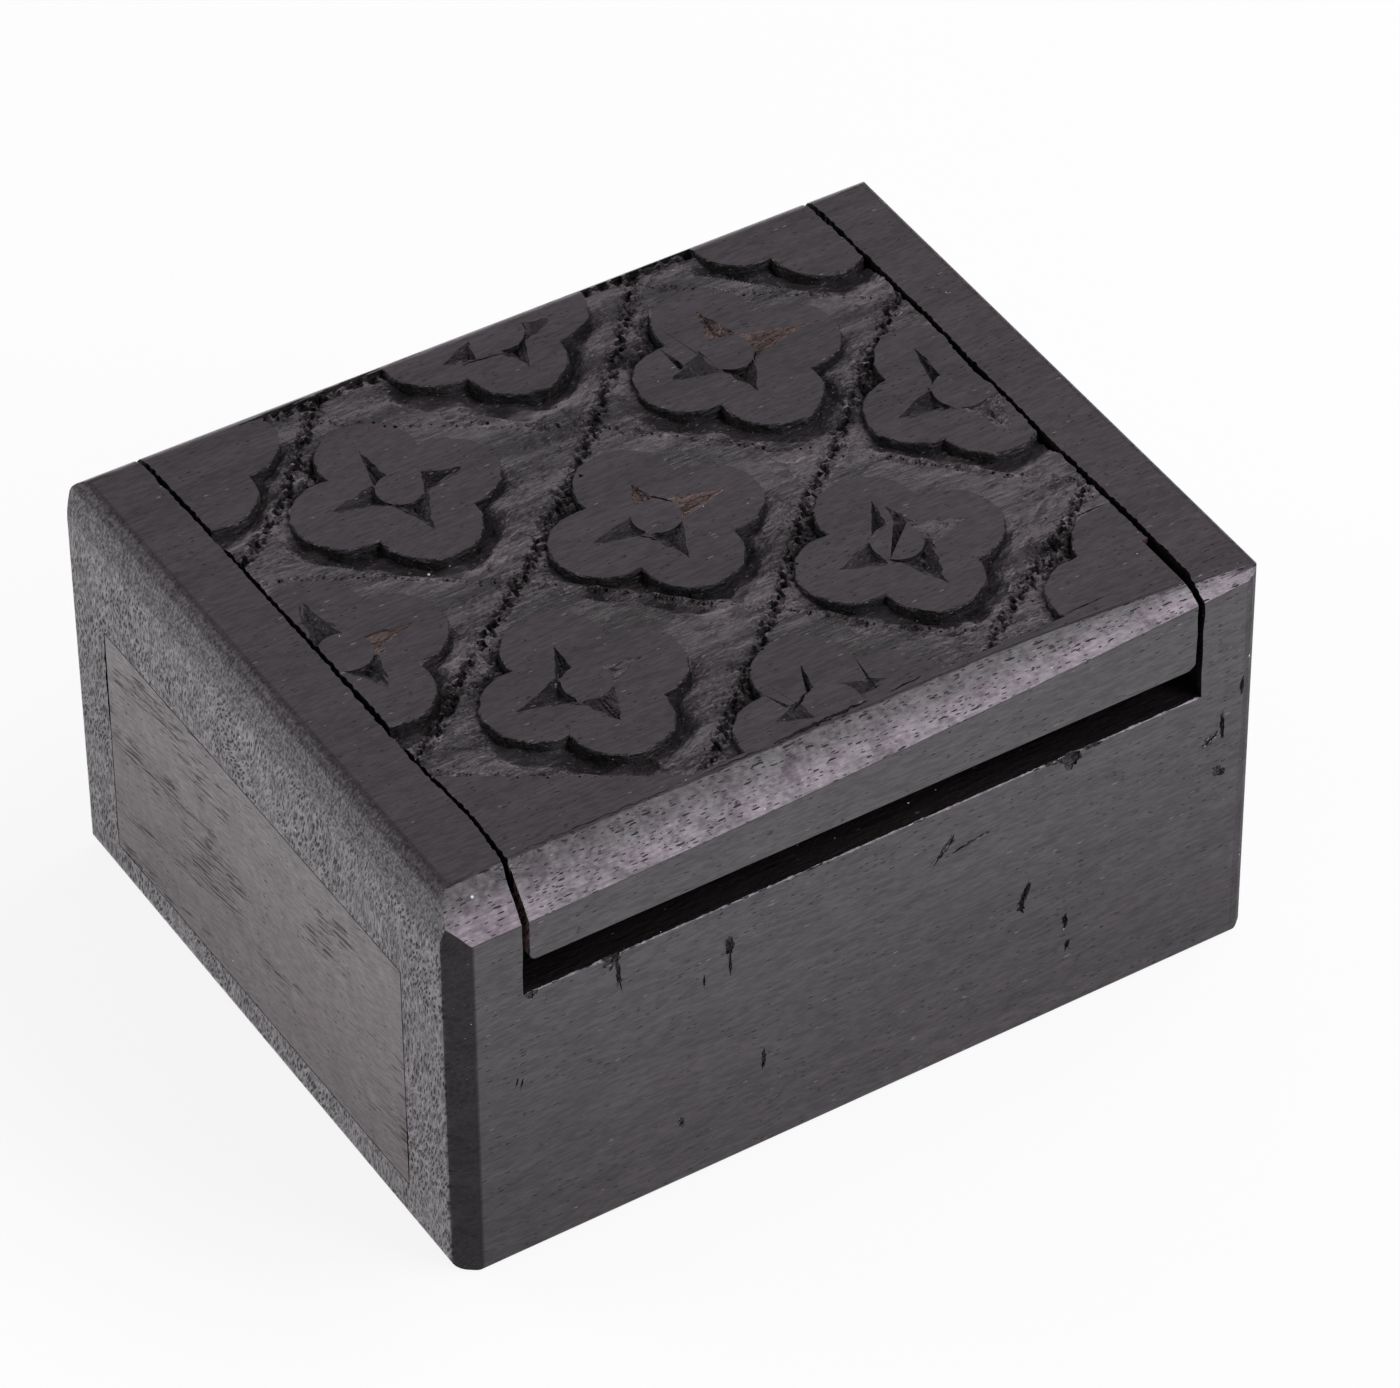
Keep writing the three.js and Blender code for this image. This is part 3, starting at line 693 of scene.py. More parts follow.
# %% The chipped stars
DISCS = [
    (-20.3, 19.6, 2.6),
    (21.1, 20.0, 2.8),
    (0.3, 1.4, 2.7),
    (-19.6, -17.0, 2.7),
    (19.5, -15.6, 2.85),
    (1.7, 36.3, 3.1),
    (0.2, -33.2, 3.0),
    (-38.3, 0.3, 3.0),
    (38.9, 1.7, 3.1),
]
CHIPS = [
    ((-20.8, 27.2), (-22.5, 21.4), (-20.4, 21.5), 0.9, DEEP),
    ((-28.6, 20.2), (-22.5, 21.8), (-22.1, 17.7), 1.0, DEEP),
    ((-20.5, 12.2), (-22.3, 17.8), (-18.0, 17.5), 1.1, DEEP),
    ((-13.0, 19.1), (-18.4, 17.5), (-17.0, 20.9), 0.8, DEEP),
    ((21.8, 27.7), (20.1, 22.3), (23.7, 22.3), 1.0, RAW),
    ((13.0, 19.5), (18.5, 21.9), (18.8, 17.4), 0.9, RAW),
    ((20.4, 13.0), (18.8, 18.2), (23.0, 17.8), 1.2, DEEP),
    ((31.0, 19.8), (23.3, 17.8), (23.7, 22.0), 1.1, RAW),
    ((0.8, 7.6), (-1.0, 3.4), (1.8, 3.5), 0.9, RAW),
    ((8.8, 1.3), (2.6, -0.6), (2.7, 3.0), 1.0, RAW),
    ((-8.5, 1.1), (-2.0, 2.8), (-2.0, -0.6), 0.8, DEEP),
    ((-0.3, -6.0), (-2.0, -0.8), (2.2, -0.8), 1.2, DEEP),
    ((-19.5, -10.3), (-22.1, -15.0), (-19.7, -14.8), 0.9, DEEP),
    ((-28.0, -17.0), (-21.9, -14.7), (-22.0, -19.2), 1.1, DEEP),
    ((-19.7, -24.1), (-21.8, -19.4), (-17.5, -19.1), 1.1, DEEP),
    ((-12.6, -16.6), (-17.4, -18.6), (-17.2, -15.5), 0.5, GOUGED),
    ((20.8, -8.6), (17.3, -13.9), (19.9, -13.3), 1.0, DEEP),
    ((21.6, -10.2), (20.8, -13.3), (22.8, -13.7), 0.5, GOUGED),
    ((12.0, -16.1), (16.9, -14.0), (16.8, -18.1), 0.9, DEEP),
    ((20.4, -23.6), (17.2, -17.5), (22.9, -16.8), 1.4, DEEP),
    ((27.8, -16.3), (22.1, -13.8), (22.6, -18.2), 0.7, GOUGED),
    ((-6.0, 34.7), (-1.7, 36.5), (-2.5, 33.3), 0.7, DEEP),
    ((1.8, 29.6), (0.3, 33.8), (4.3, 34.4), 1.1, DEEP),
    ((8.2, 35.1), (4.3, 36.6), (3.9, 33.4), 0.5, DEEP),
    ((0.6, -26.0), (-1.8, -31.3), (-0.3, -30.1), 0.8, DEEP),
    ((-6.5, -32.6), (-2.8, -30.8), (-2.6, -34.2), 0.9, DEEP),
    ((6.6, -32.9), (2.3, -31.0), (2.9, -34.2), 0.45, GOUGED),
    ((-38.5, 8.9), (-41.2, 2.5), (-36.6, 2.7), 0.6, DEEP),
    ((-30.3, 0.7), (-35.9, -1.8), (-35.6, 1.6), 0.45, RAW),
    ((-37.3, -6.9), (-40.2, -1.9), (-35.5, -1.6), 1.1, DEEP),
    ((30.3, 1.1), (36.0, 3.6), (36.6, -0.9), 1.0, DEEP),
    ((38.5, 10.5), (36.6, 3.7), (38.4, 4.2), 0.9, DEEP),
    ((39.4, -6.9), (37.3, -0.9), (42.2, -0.9), 0.8, GOUGED),
]


# The pit's deepest point is a mean of the two corners and the tip, with these shares
CORNER_SHARE, TIP_SHARE = 0.42, 0.16
CHIP_ABOVE, CHIP_CUTS = 0.3, 8
DISC_CORNERS, DISC_REACH = 40, 4


def chip(tip, one, other, deep, finish, seed):
    rim = np.array([(*tip, 0), (*one, 0), (*other, 0)])
    pit = np.append((rim[1, :2] + rim[2, :2]) * CORNER_SHARE + rim[0, :2] * TIP_SHARE, -deep)
    rim = pit + (rim - pit) * (deep + CHIP_ABOVE) / deep
    piece = added(bpy.ops.mesh.primitive_cone_add, vertices=3, radius1=1, radius2=0, depth=1)
    corners = points_of(piece)
    order = np.argsort(corners[:, 2] < 0.25)
    corners[order[0]] = pit
    corners[order[1:]] = rim
    move_points(piece, corners)
    in_edit_mode(piece, lambda: bpy.ops.mesh.subdivide(number_cuts=CHIP_CUTS))
    points = points_of(piece)
    points += 0.06 * np.column_stack([drift(points, 1.1, seed + k) for k in range(3)])
    points[:, 2] += 0.13 * drift(points[:, :2], 0.6, seed + 3)
    move_points(piece, points)
    return leaves(facing_out(piece), finish)


def disc(x, y, radius):
    turns = np.linspace(0, 2 * math.pi, DISC_CORNERS, endpoint=False)
    outline = np.column_stack([np.cos(turns), np.sin(turns)]) * radius + [x, y]
    return solid("disc", [seen_from_above(outline, z) for z in (-DISC_REACH, DISC_REACH)])


stars = chip(*CHIPS[0], 200)
for number, row in enumerate(CHIPS[1:], 1):
    cut(stars, chip(*row, 200 + 5 * number), "UNION")
cut(stars, leaves(join([disc(*row) for row in DISCS]), DEEP))
print("chips:", len(CHIPS), "faces:", len(stars.data.polygons))

# %% [markdown]
# In a few places the round gouge slipped and its stop cut shows as a thin dark line from one
# chip to the next. The front of the carved field was scribed with a knife, which shows too, and
# along the rear edge the wood was cut back to a narrow, ragged lip.

# %% Knife and gouge lines
# From, to, width and depth
KNIFE_LINES = [
    ((1.3, 4.6), (3.3, 2.2), 0.34, 0.5),
    ((-3.0, -0.2), (-1.5, -2.0), 0.3, 0.4),
    ((-1.2, -30.3), (-4.0, -32.1), 0.4, 0.5),
    ((-4.2, 33.6), (0.7, 32.9), 0.32, 0.4),
    ((-23.2, 18.3), (-21.9, 17.2), 0.22, 0.3),
    ((-23.0, -18.7), (-21.3, -20.2), 0.2, 0.25),
    ((22.7, 17.3), (24.6, 19.9), 0.26, 0.5),
    ((-8.4, -35.2), (3.1, -34.8), 0.5, 0.6),
    ((6.1, -34.9), (10.1, -34.6), 0.3, 0.4),
    ((28.0, -34.5), (33.0, -34.4), 0.24, 0.35),
    ((-39.4, -35.1), (-20.4, -35.3), 0.2, 0.25),
    ((-16.8, -35.2), (-9.3, -35.3), 0.22, 0.3),
    ((36.0, -22.1), (41.1, -22.2), 0.3, 0.45),
    ((-29.5, 37.6), (-20.5, 37.9), 0.5, 0.6),
    ((-20.0, 37.7), (-11.6, 38.1), 0.8, 0.7),
    ((-11.0, 38.0), (-4.5, 38.2), 0.35, 0.4),
    ((-3.0, 38.2), (3.0, 38.1), 0.3, 0.35),
    ((6.0, 38.0), (14.5, 38.1), 0.6, 0.6),
    ((16.0, 37.9), (31.0, 38.2), 0.5, 0.6),
]


LINE_STEP, LINE_WANDER = 0.5, 0.09


def knife_line(start, end, width, deep, seed):
    start, end = np.array(start), np.array(end)
    along = (end - start) / np.linalg.norm(end - start)
    across = np.array([-along[1], along[0]])
    count = max(4, round(np.linalg.norm(end - start) / LINE_STEP))
    rings = []
    for share in np.linspace(0, 1, count):
        place = [[share * count]]
        spot = start + (end - start) * share + across * LINE_WANDER * drift(place, 5, seed)
        taper = 0.25 + 0.75 * math.sin(math.pi * min(max(share, 0.02), 0.98)) ** 0.5
        half = width / 2 * taper * (1 + 0.35 * drift(place, 3, seed + 1)[0])
        rings.append([(*(spot - across * half * 1.5), 0.3), (*spot, -deep * taper),
                      (*(spot + across * half * 1.5), 0.3)])
    return leaves(solid("knife_line", rings), DEEP)


knife_lines = [knife_line(*row, 260 + 2 * number) for number, row in enumerate(KNIFE_LINES)]

# %% [markdown]
# Along the lattice lines the carver tapped a pointed punch, one dot after the other, and the
# wood between the dots broke out here and there. One small pointed dot is modelled and copied
# along each line, each copy with uneven sides, a little off the line and a little turned.

# %% The punched dots
def walk(line, step, wander, seed):
    """Places along a line, about `step` apart, each a little off it, with a size."""
    dice = np.random.default_rng(seed)
    line = np.array(line, float)
    lengths = np.linalg.norm(np.diff(line, axis=0), axis=1)
    marks = np.concatenate([[0], np.cumsum(lengths)])
    s = dice.uniform(0.3, 1)
    while s < marks[-1]:
        spot = np.array([np.interp(s, marks, line[:, 0]), np.interp(s, marks, line[:, 1])])
        yield spot + dice.normal(0, wander, 2), dice.uniform(0.7, 1.15)
        s += step * dice.uniform(0.85, 1.3)


# Lines, a dot's radius, the step from dot to dot, how far they stray, and the first seed
ROWS = [(RISING_LINES, 0.4, 1.5, 0.3, 300), (RISING_LINES, 0.24, 0.8, 0.8, 320),
        (FALLING_LINES, 0.3, 1.5, 0.25, 340), (FALLING_LINES, 0.17, 1.3, 0.8, 360)]
punch = added(bpy.ops.mesh.primitive_cone_add, vertices=7, radius1=0.3, radius2=1, depth=2)
punch_points = points_of(punch)
# A dot at its largest against its drawn radius, the wood left between two, and its half height
DOT_SWELL, DOT_GAP, DOT_HALF = 1.44, 0.03, 0.6
dice = np.random.default_rng(11)
dots = []
placed = []
for lines, radius, step, wander, seed in ROWS:
    for index, line in enumerate(lines):
        for spot, size in walk(line, step, wander, seed + index):
            widest = radius * DOT_SWELL
            clear = all(np.hypot(*(spot - p)) > widest + other + DOT_GAP for p, other in placed)
            in_field = CARVED_FRONT + 0.6 < spot[1] < CARVED_REAR - 0.4 and -40 < spot[0] < 41.3
            if not clear or not in_field:
                continue
            depth = float(ground_depth(spot[None])[0])
            copy = punch.copy()
            copy.data = punch.data.copy()
            bpy.context.collection.objects.link(copy)
            uneven = dice.uniform(0.7, 1.25, (len(punch_points), 1))
            shape = punch_points * np.array([radius * size, radius * size, DOT_HALF])
            shape[:, :2] *= uneven
            top = DOT_HALF - depth - 1.5 * radius * size
            move_points(copy, shape + [spot[0], spot[1], top])
            placed.append((spot, widest))
            dots.append(copy)
bpy.data.objects.remove(punch)
dots = leaves(join(dots), DEEP)
print("dots:", len(placed))

# %% [markdown]
# All these cutters were drawn over a level surface. The real top falls to the right, so each is
# leant with it and raised to the top before it is taken from the lid.

# %% Carve the lid
def lay_on_top(piece):
    points = points_of(piece)
    points[:, 2] += top_at(points[:, 0])
    move_points(piece, points)
    return piece


for piece in (ground, stars, dots, *knife_lines):
    cut(lid, lay_on_top(piece))
print("carved lid faces:", len(lid.data.polygons))

# %% [markdown]
# Years of use left nicks in the front face. One small lens-shaped dent, pulled long, is copied to
# each place with its own size and slant, and is given uneven sides, because torn wood is rough.

# %% Nicks and chips
# x, z, length, width, lean from upright in degrees, depth
NICKS = [
    (-30.2, 34.0, 4.6, 0.7, 4, 0.5), (-30.9, 36.4, 2.4, 2.6, 70, 0.45),
    (-16.8, 31.0, 3.4, 1.0, 2, 0.6), (-16.7, 28.2, 2.4, 0.5, 0, 0.4),
    (-19.9, 27.6, 1.6, 0.3, 0, 0.3), (-42.6, 25.0, 1.2, 0.3, -15, 0.25),
    (-42.0, 24.6, 1.4, 0.3, -15, 0.25), (-12.7, 12.6, 3.0, 0.5, -3, 0.35),
    (-22.9, 8.7, 1.6, 0.8, 10, 0.35), (9.6, 31.0, 3.2, 0.8, -38, 0.4),
    (10.6, 32.0, 1.4, 0.7, -10, 0.35), (12.9, 30.6, 5.6, 0.5, -80, 0.3),
    (20.1, 19.6, 3.0, 0.8, -16, 0.55), (19.6, 17.8, 2.2, 0.9, 8, 0.45),
    (25.3, 12.9, 2.2, 0.8, 4, 0.4), (25.6, 9.3, 1.6, 0.6, -12, 0.4),
    (44.9, 31.4, 4.2, 0.6, 3, 0.5), (43.2, 30.0, 2.6, 1.2, -60, 0.4),
    (44.7, 24.9, 2.4, 1.3, 35, 0.4), (47.3, 36.0, 2.4, 0.6, -5, 0.35),
    (25.6, 36.4, 2.8, 3.2, 80, 0.5), (23.2, 36.9, 2.0, 0.9, 85, 0.3),
    (28.2, 36.9, 2.6, 0.8, 85, 0.3), (-40.6, 36.6, 1.4, 1.3, 60, 0.3),
    (6.5, 36.95, 2.2, 0.5, 88, 0.2), (-6.3, 36.9, 2.6, 0.4, 88, 0.2),
]
# A dent's half sizes against the width, depth and length listed
DENT_SHARES = np.array([0.5, 0.7, 0.48])
for number, (x, z, length, width, lean, depth) in enumerate(NICKS):
    dent = added(bpy.ops.mesh.primitive_ico_sphere_add, subdivisions=3, radius=1)
    shape = points_of(dent)
    shape *= 1 + 0.35 * drift(shape, 0.6, 400 + number)[:, None]
    shape *= np.array([width, depth, length]) * DENT_SHARES
    turn = math.radians(lean)
    spin = np.array([[math.cos(turn), 0, -math.sin(turn)], [0, 1, 0],
                     [math.sin(turn), 0, math.cos(turn)]])
    move_points(dent, shape @ spin.T + [x, FRONT, z])
    cut(carcass, leaves(dent, NICKED))
print("carcass faces with nicks:", len(carcass.data.polygons))

# %% [markdown]
# The pieces are finished. Where cuts cross, a few crumbs of wood are left hanging in the air,
# which are swept away first. Faces that meet gently are shaded as one surface, but every edge
# between two finishes stays crisp, because a tool stopped there. Flat faces keep their flat
# shading beside a rounding, and the drawing is shrunk to metres. Each piece then takes the place
# of its measured node and moves with the same body.

# %% Finish the new pieces
MM = 0.001
SMOOTH_UNDER = math.radians(32)


def crisp_between_finishes(piece):
    for slot in range(len(finishes)):
        piece.active_material_index = slot
        in_edit_mode(piece, lambda: bpy.ops.mesh.select_all(action="DESELECT"),
                     bpy.ops.object.material_slot_select, bpy.ops.mesh.region_to_loop,
                     bpy.ops.mesh.mark_sharp)


def drop_crumbs(piece):
    """Keeps the shell that the lowest point belongs to, and deletes every loose one."""
    before = len(piece.data.vertices)
    in_edit_mode(piece, lambda: bpy.ops.mesh.select_all(action="DESELECT"))
    lowest = int(np.argmin(points_of(piece)[:, 2]))
    piece.data.vertices[lowest].select = True
    bpy.ops.object.mode_set(mode="EDIT")
    bpy.ops.mesh.select_linked()
    bpy.ops.mesh.select_all(action="INVERT")
    bpy.ops.mesh.delete(type="VERT")
    bpy.ops.object.mode_set(mode="OBJECT")
    print(piece.name, "crumbs had points:", before - len(piece.data.vertices))
    print(piece.name, "needed mending:", piece.data.validate())


def finish_piece(piece, node, body):
    only(piece)
    drop_crumbs(piece)
    bpy.ops.object.shade_smooth_by_angle(angle=SMOOTH_UNDER)
    crisp_between_finishes(piece)
    weigh = piece.modifiers.new("flat faces first", "WEIGHTED_NORMAL")
    weigh.keep_sharp = True
    bpy.ops.object.modifier_apply(modifier=weigh.name)
    bpy.ops.transform.resize(value=(MM, MM, MM), center_override=(0, 0, 0))
    bpy.ops.object.transform_apply(location=True, rotation=True, scale=True)
    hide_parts(node)
    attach(piece, body)
    piece.data.calc_loop_triangles()
    print(piece.name, "triangles:", len(piece.data.loop_triangles))


finish_piece(carcass, "carcass", "case")
finish_piece(lid, "lid", "lid")

# %% [markdown]
# # The wood
# Each effect that several finishes share is a node group: a small machine with named inputs and
# outputs, built once. These helpers place a node with its inputs set or linked in one line, and
# `answer` links what a group gives out.

# %% Node helpers
def put(tree, kind, inputs=None, **settings):
    """Adds a node, and sets each input to a value or links it to a socket."""
    made = tree.nodes.new(kind)
    for key, value in settings.items():
        setattr(made, key, value)
    for key, value in (inputs or {}).items():
        if isinstance(value, bpy.types.NodeSocket):
            tree.links.new(value, made.inputs[key])
        else:
            made.inputs[key].default_value = value
    return made


def maths(tree, operation, a, b=0.0, clamp=False):
    made = put(tree, "ShaderNodeMath", {0: a, 1: b}, operation=operation, use_clamp=clamp)
    return made.outputs[0]


def sum_of(tree, first, *others):
    for other in others:
        first = maths(tree, "ADD", first, other)
    return first


def product(tree, first, *others):
    for other in others:
        first = maths(tree, "MULTIPLY", first, other)
    return first


def less(tree, value, taken):
    return maths(tree, "SUBTRACT", value, taken)


def without(tree, value):
    """What a value from 0 to 1 lacks to 1."""
    return maths(tree, "SUBTRACT", 1.0, value)


def ramp(tree, value, low, high, start=0.0, end=1.0):
    """Turns `low` to `high` of a value into `start` to `end`, smoothly."""
    made = put(tree, "ShaderNodeMapRange", {"Value": value, "From Min": low, "From Max": high,
                                            "To Min": start, "To Max": end},
               interpolation_type="SMOOTHSTEP")
    return made.outputs["Result"]


def vectors(tree, operation, inputs):
    return put(tree, "ShaderNodeVectorMath", inputs, operation=operation).outputs[0]


def stretched(tree, place, scale):
    return vectors(tree, "MULTIPLY", {0: place, 1: scale})


def shifted(tree, place, noise_size, amount):
    """Moves a place by a soft noise: at most half the amount, along each axis of its own."""
    soft = put(tree, "ShaderNodeTexNoise", {"Vector": place, "Scale": noise_size})
    centred = vectors(tree, "SUBTRACT", {0: soft.outputs["Color"], 1: (0.5, 0.5, 0.5)})
    return stretched(tree, centred, amount)


def noise(tree, place, detail=2.0, roughness=0.5):
    return put(tree, "ShaderNodeTexNoise", {"Vector": place, "Scale": 1.0, "Detail": detail,
                                            "Roughness": roughness}).outputs[0]


def blend(tree, share, one, other):
    return put(tree, "ShaderNodeMix", {0: share, 6: one, 7: other}, data_type="RGBA").outputs[2]


def new_group(name, inputs, outputs):
    group = bpy.data.node_groups.new(name, "ShaderNodeTree")
    for label, kind, value in inputs:
        socket = group.interface.new_socket(name=label, in_out="INPUT", socket_type=kind)
        if value is not None:
            socket.default_value = value
    for label, kind in outputs:
        group.interface.new_socket(name=label, in_out="OUTPUT", socket_type=kind)
    return group, group.nodes.new("NodeGroupInput"), group.nodes.new("NodeGroupOutput")


def use(tree, group, **inputs):
    return put(tree, "ShaderNodeGroup", inputs, node_tree=group).outputs


def answer(tree, made, **results):
    for label, result in results.items():
        tree.links.new(result, made.inputs[label])


VECTOR, FLOAT = "NodeSocketVector", "NodeSocketFloat"

# %% [markdown]
# The first group places open pores: short dark dashes along the grain. A cell pattern is
# stretched along the grain, each cell holds one dash, and only a share of the cells keep theirs.
# A little noise bends the cells, so that no two dashes are alike.

# %% The open pores
pores, given, made = new_group(
    "open_pores",
    [("Place", VECTOR, None), ("Long", FLOAT, 1.7), ("Wide", FLOAT, 0.36), ("Share", FLOAT, 0.3)],
    [("Mask", FLOAT)])
shift = shifted(pores, given.outputs["Place"], 0.8, (0.9, 0.35, 0.35))
moved = vectors(pores, "ADD", {0: given.outputs["Place"], 1: shift})
size = put(pores, "ShaderNodeCombineXYZ", {0: given.outputs["Long"], 1: given.outputs["Wide"],
                                           2: given.outputs["Wide"]})
cells = vectors(pores, "DIVIDE", {0: moved, 1: size.outputs[0]})
pattern = put(pores, "ShaderNodeTexVoronoi", {"Vector": cells, "Scale": 1.0})
one_colour = put(pores, "ShaderNodeSeparateColor", {0: pattern.outputs["Color"]})
kept = maths(pores, "LESS_THAN", one_colour.outputs[0], given.outputs["Share"])
girth = ramp(pores, one_colour.outputs[1], 0, 1, 0.16, 0.36)
dash = ramp(pores, less(pores, girth, pattern.outputs["Distance"]), 0.0, 0.1)
answer(pores, made, Mask=product(pores, dash, kept))

# %% [markdown]
# The second group draws end grain. Where the saw crosses the fibres, the cut pores stand as a
# dense mesh of short upright strokes that lean a little with the growth of the tree. A flat cell
# pattern is squeezed across the strokes, so that the middle of each cell is one dark stroke. Some
# strokes are open and black, most are faint, and a slow noise gathers them into bands.

# %% The end grain
ends, given, made = new_group(
    "end_grain", [("Place", VECTOR, None), ("Lean", FLOAT, -0.33)],
    [("Dark", FLOAT), ("Tone", FLOAT)])
turned = put(ends, "ShaderNodeVectorRotate", {
    "Vector": given.outputs["Place"], "Axis": (1, 0, 0), "Angle": given.outputs["Lean"]},
    rotation_type="AXIS_ANGLE")
moved = turned.outputs[0]
for size, amount in ((0.06, 7), (0.5, 0.45)):
    shift = shifted(ends, given.outputs["Place"], size, (0, amount, amount))
    moved = vectors(ends, "ADD", {0: moved, 1: shift})
flat = put(ends, "ShaderNodeSeparateXYZ", {0: stretched(ends, moved, (0, 2.7, 0.85))})
flat = put(ends, "ShaderNodeCombineXYZ", {0: flat.outputs[1], 1: flat.outputs[2]})
cells = put(ends, "ShaderNodeTexVoronoi", {"Vector": flat.outputs[0], "Scale": 1.0,
                                           "Randomness": 0.95}, voronoi_dimensions="2D")
one_colour = put(ends, "ShaderNodeSeparateColor", {0: cells.outputs["Color"]})
patch = noise(ends, stretched(ends, given.outputs["Place"], (0.1, 0.13, 0.16)))
stroke = ramp(ends, cells.outputs["Distance"], 0.45, 0.2)
faint = ramp(ends, one_colour.outputs[0], 0, 1, 0.25, 0.9)
open_share = ramp(ends, patch, 0.4, 0.65, 0.05, 0.4)
open_pore = maths(ends, "LESS_THAN", one_colour.outputs[1], open_share)
strength = maths(ends, "MAXIMUM", faint, open_pore)
strength = product(ends, strength, ramp(ends, patch, 0.3, 0.55, 0.55, 1.0))
answer(ends, made, Dark=product(ends, stroke, strength), Tone=one_colour.outputs[2])

# %% [markdown]
# The third group sprinkles dust: tiny pale specks, few and far between, that lie in no pattern.

# %% Dust
dust, given, made = new_group(
    "dust_specks", [("Place", VECTOR, None), ("Every", FLOAT, 2.2), ("Share", FLOAT, 0.35)],
    [("Mask", FLOAT)])
scaled = put(dust, "ShaderNodeVectorMath", {0: given.outputs["Place"]}, operation="SCALE")
dust.links.new(maths(dust, "DIVIDE", 1.0, given.outputs["Every"]), scaled.inputs["Scale"])
pattern = put(dust, "ShaderNodeTexVoronoi", {"Vector": scaled.outputs[0], "Scale": 1.0})
one_colour = put(dust, "ShaderNodeSeparateColor", {0: pattern.outputs["Color"]})
kept = maths(dust, "LESS_THAN", one_colour.outputs[1], given.outputs["Share"])
girth = ramp(dust, one_colour.outputs[2], 0.5, 1, 0.035, 0.085)
speck = ramp(dust, less(dust, girth, pattern.outputs["Distance"]), 0.0, 0.02)
answer(dust, made, Mask=product(dust, speck, kept))

# %% [markdown]
# The fourth group knows the shape of the box. From a point and the direction its surface faces
# it tells how deep the point lies below the lid's top, whether the surface stands upright like a
# wall, whether it is the planed bevel, whether the wood is cut across its fibres there, whether
# it is one of the upright chamfers at the corners, and whether it is the rounded shoulder that
# leads from the left end to the top, its arris at the very top, or the rounded rear edge. On the
# bevel it also tells how far down towards the bevel's foot the point lies.

# %% Where on the box
spots, given, made = new_group(
    "where_on_the_box", [("Place", VECTOR, None), ("Facing", VECTOR, None)],
    [(label, FLOAT) for label in (
        "Depth", "Wall", "Bevel", "Foot", "End", "Chamfer", "Shoulder", "Arris", "Rear")])
at = put(spots, "ShaderNodeSeparateXYZ", {0: given.outputs["Place"]})
towards = put(spots, "ShaderNodeSeparateXYZ", {0: given.outputs["Facing"]})
rearwards, upwards = towards.outputs[1], towards.outputs[2]
sideways = maths(spots, "ABSOLUTE", towards.outputs[0])
across = maths(spots, "ABSOLUTE", rearwards)
fall = RIGHT_DROP / (RIGHT - LEFT)
top = less(spots, HEIGHT + fall * LEFT, product(spots, at.outputs[0], fall))
answer(
    spots, made,
    Depth=less(spots, top, at.outputs[2]),
    Wall=ramp(spots, upwards, 0.75, 0.35),
    Bevel=product(spots, ramp(spots, rearwards, -0.1, -0.25), ramp(spots, upwards, 0.3, 0.45),
                  ramp(spots, at.outputs[1], FRONT + 5, FRONT + 4)),
    Foot=ramp(spots, at.outputs[1], FRONT + 4.6, FRONT + 0.4),
    End=ramp(spots, sideways, 0.45, 0.85),
    Chamfer=product(spots, ramp(spots, sideways, 0.2, 0.5), ramp(spots, across, 0.2, 0.5)),
    Shoulder=product(spots, ramp(spots, sideways, 0.1, 0.35), ramp(spots, upwards, 0.04, 0.22)),
    Arris=product(spots, ramp(spots, sideways, 0.05, 0.2), ramp(spots, sideways, 0.97, 0.75)),
    Rear=product(spots, ramp(spots, rearwards, 0.08, 0.3), ramp(spots, upwards, 0.15, 0.4)))

# %% [markdown]
# Now the finishes. All are the same dark wood, dyed and waxed. The wax is the coat: it lies on
# the sanded faces and gives them their soft shine, and it is missing in pores, in hollows and on
# walls. The pores are black in their own colour, while hollows, walls and the upright chamfers
# are painted black as shade. The ends are painted paler as sheen, and the planed bevel, its foot
# and the rounded rear edge are painted paler as highlights. Where a gouge bared the wood it is
# torn. Deep cuts are painted near black as shade, and some chips show the reddish wood under the
# dye.
#
# A wood is built up from four small functions. The first two give its tone and its dark marks.

# %% The tone and the dark marks of the wood
PALE_DUST = (0.6, 0.58, 0.6, 1)
TORN_FIBRE = (0.17, 0.155, 0.168, 1)
# The black of open pores, also used for the painted shade on chamfers and in hollows
PORE_AND_SHADE_BLACK = (0.004, 0.003, 0.004, 1)


def fibres(tree, along, contrast):
    """The tone from 0 to 1, and the fine fibre that it is partly made of."""
    figure = noise(tree, stretched(tree, along, (0.03, 0.4, 0.4)), 3)
    fibre = noise(tree, stretched(tree, along, (0.25, 4.5, 4.5)), 4, 0.7)
    tone = sum_of(tree, product(tree, figure, 0.45 * contrast),
                  product(tree, fibre, 0.55 * contrast))
    return ramp(tree, tone, 0.5 * contrast - 0.2, 0.5 * contrast + 0.2), fibre


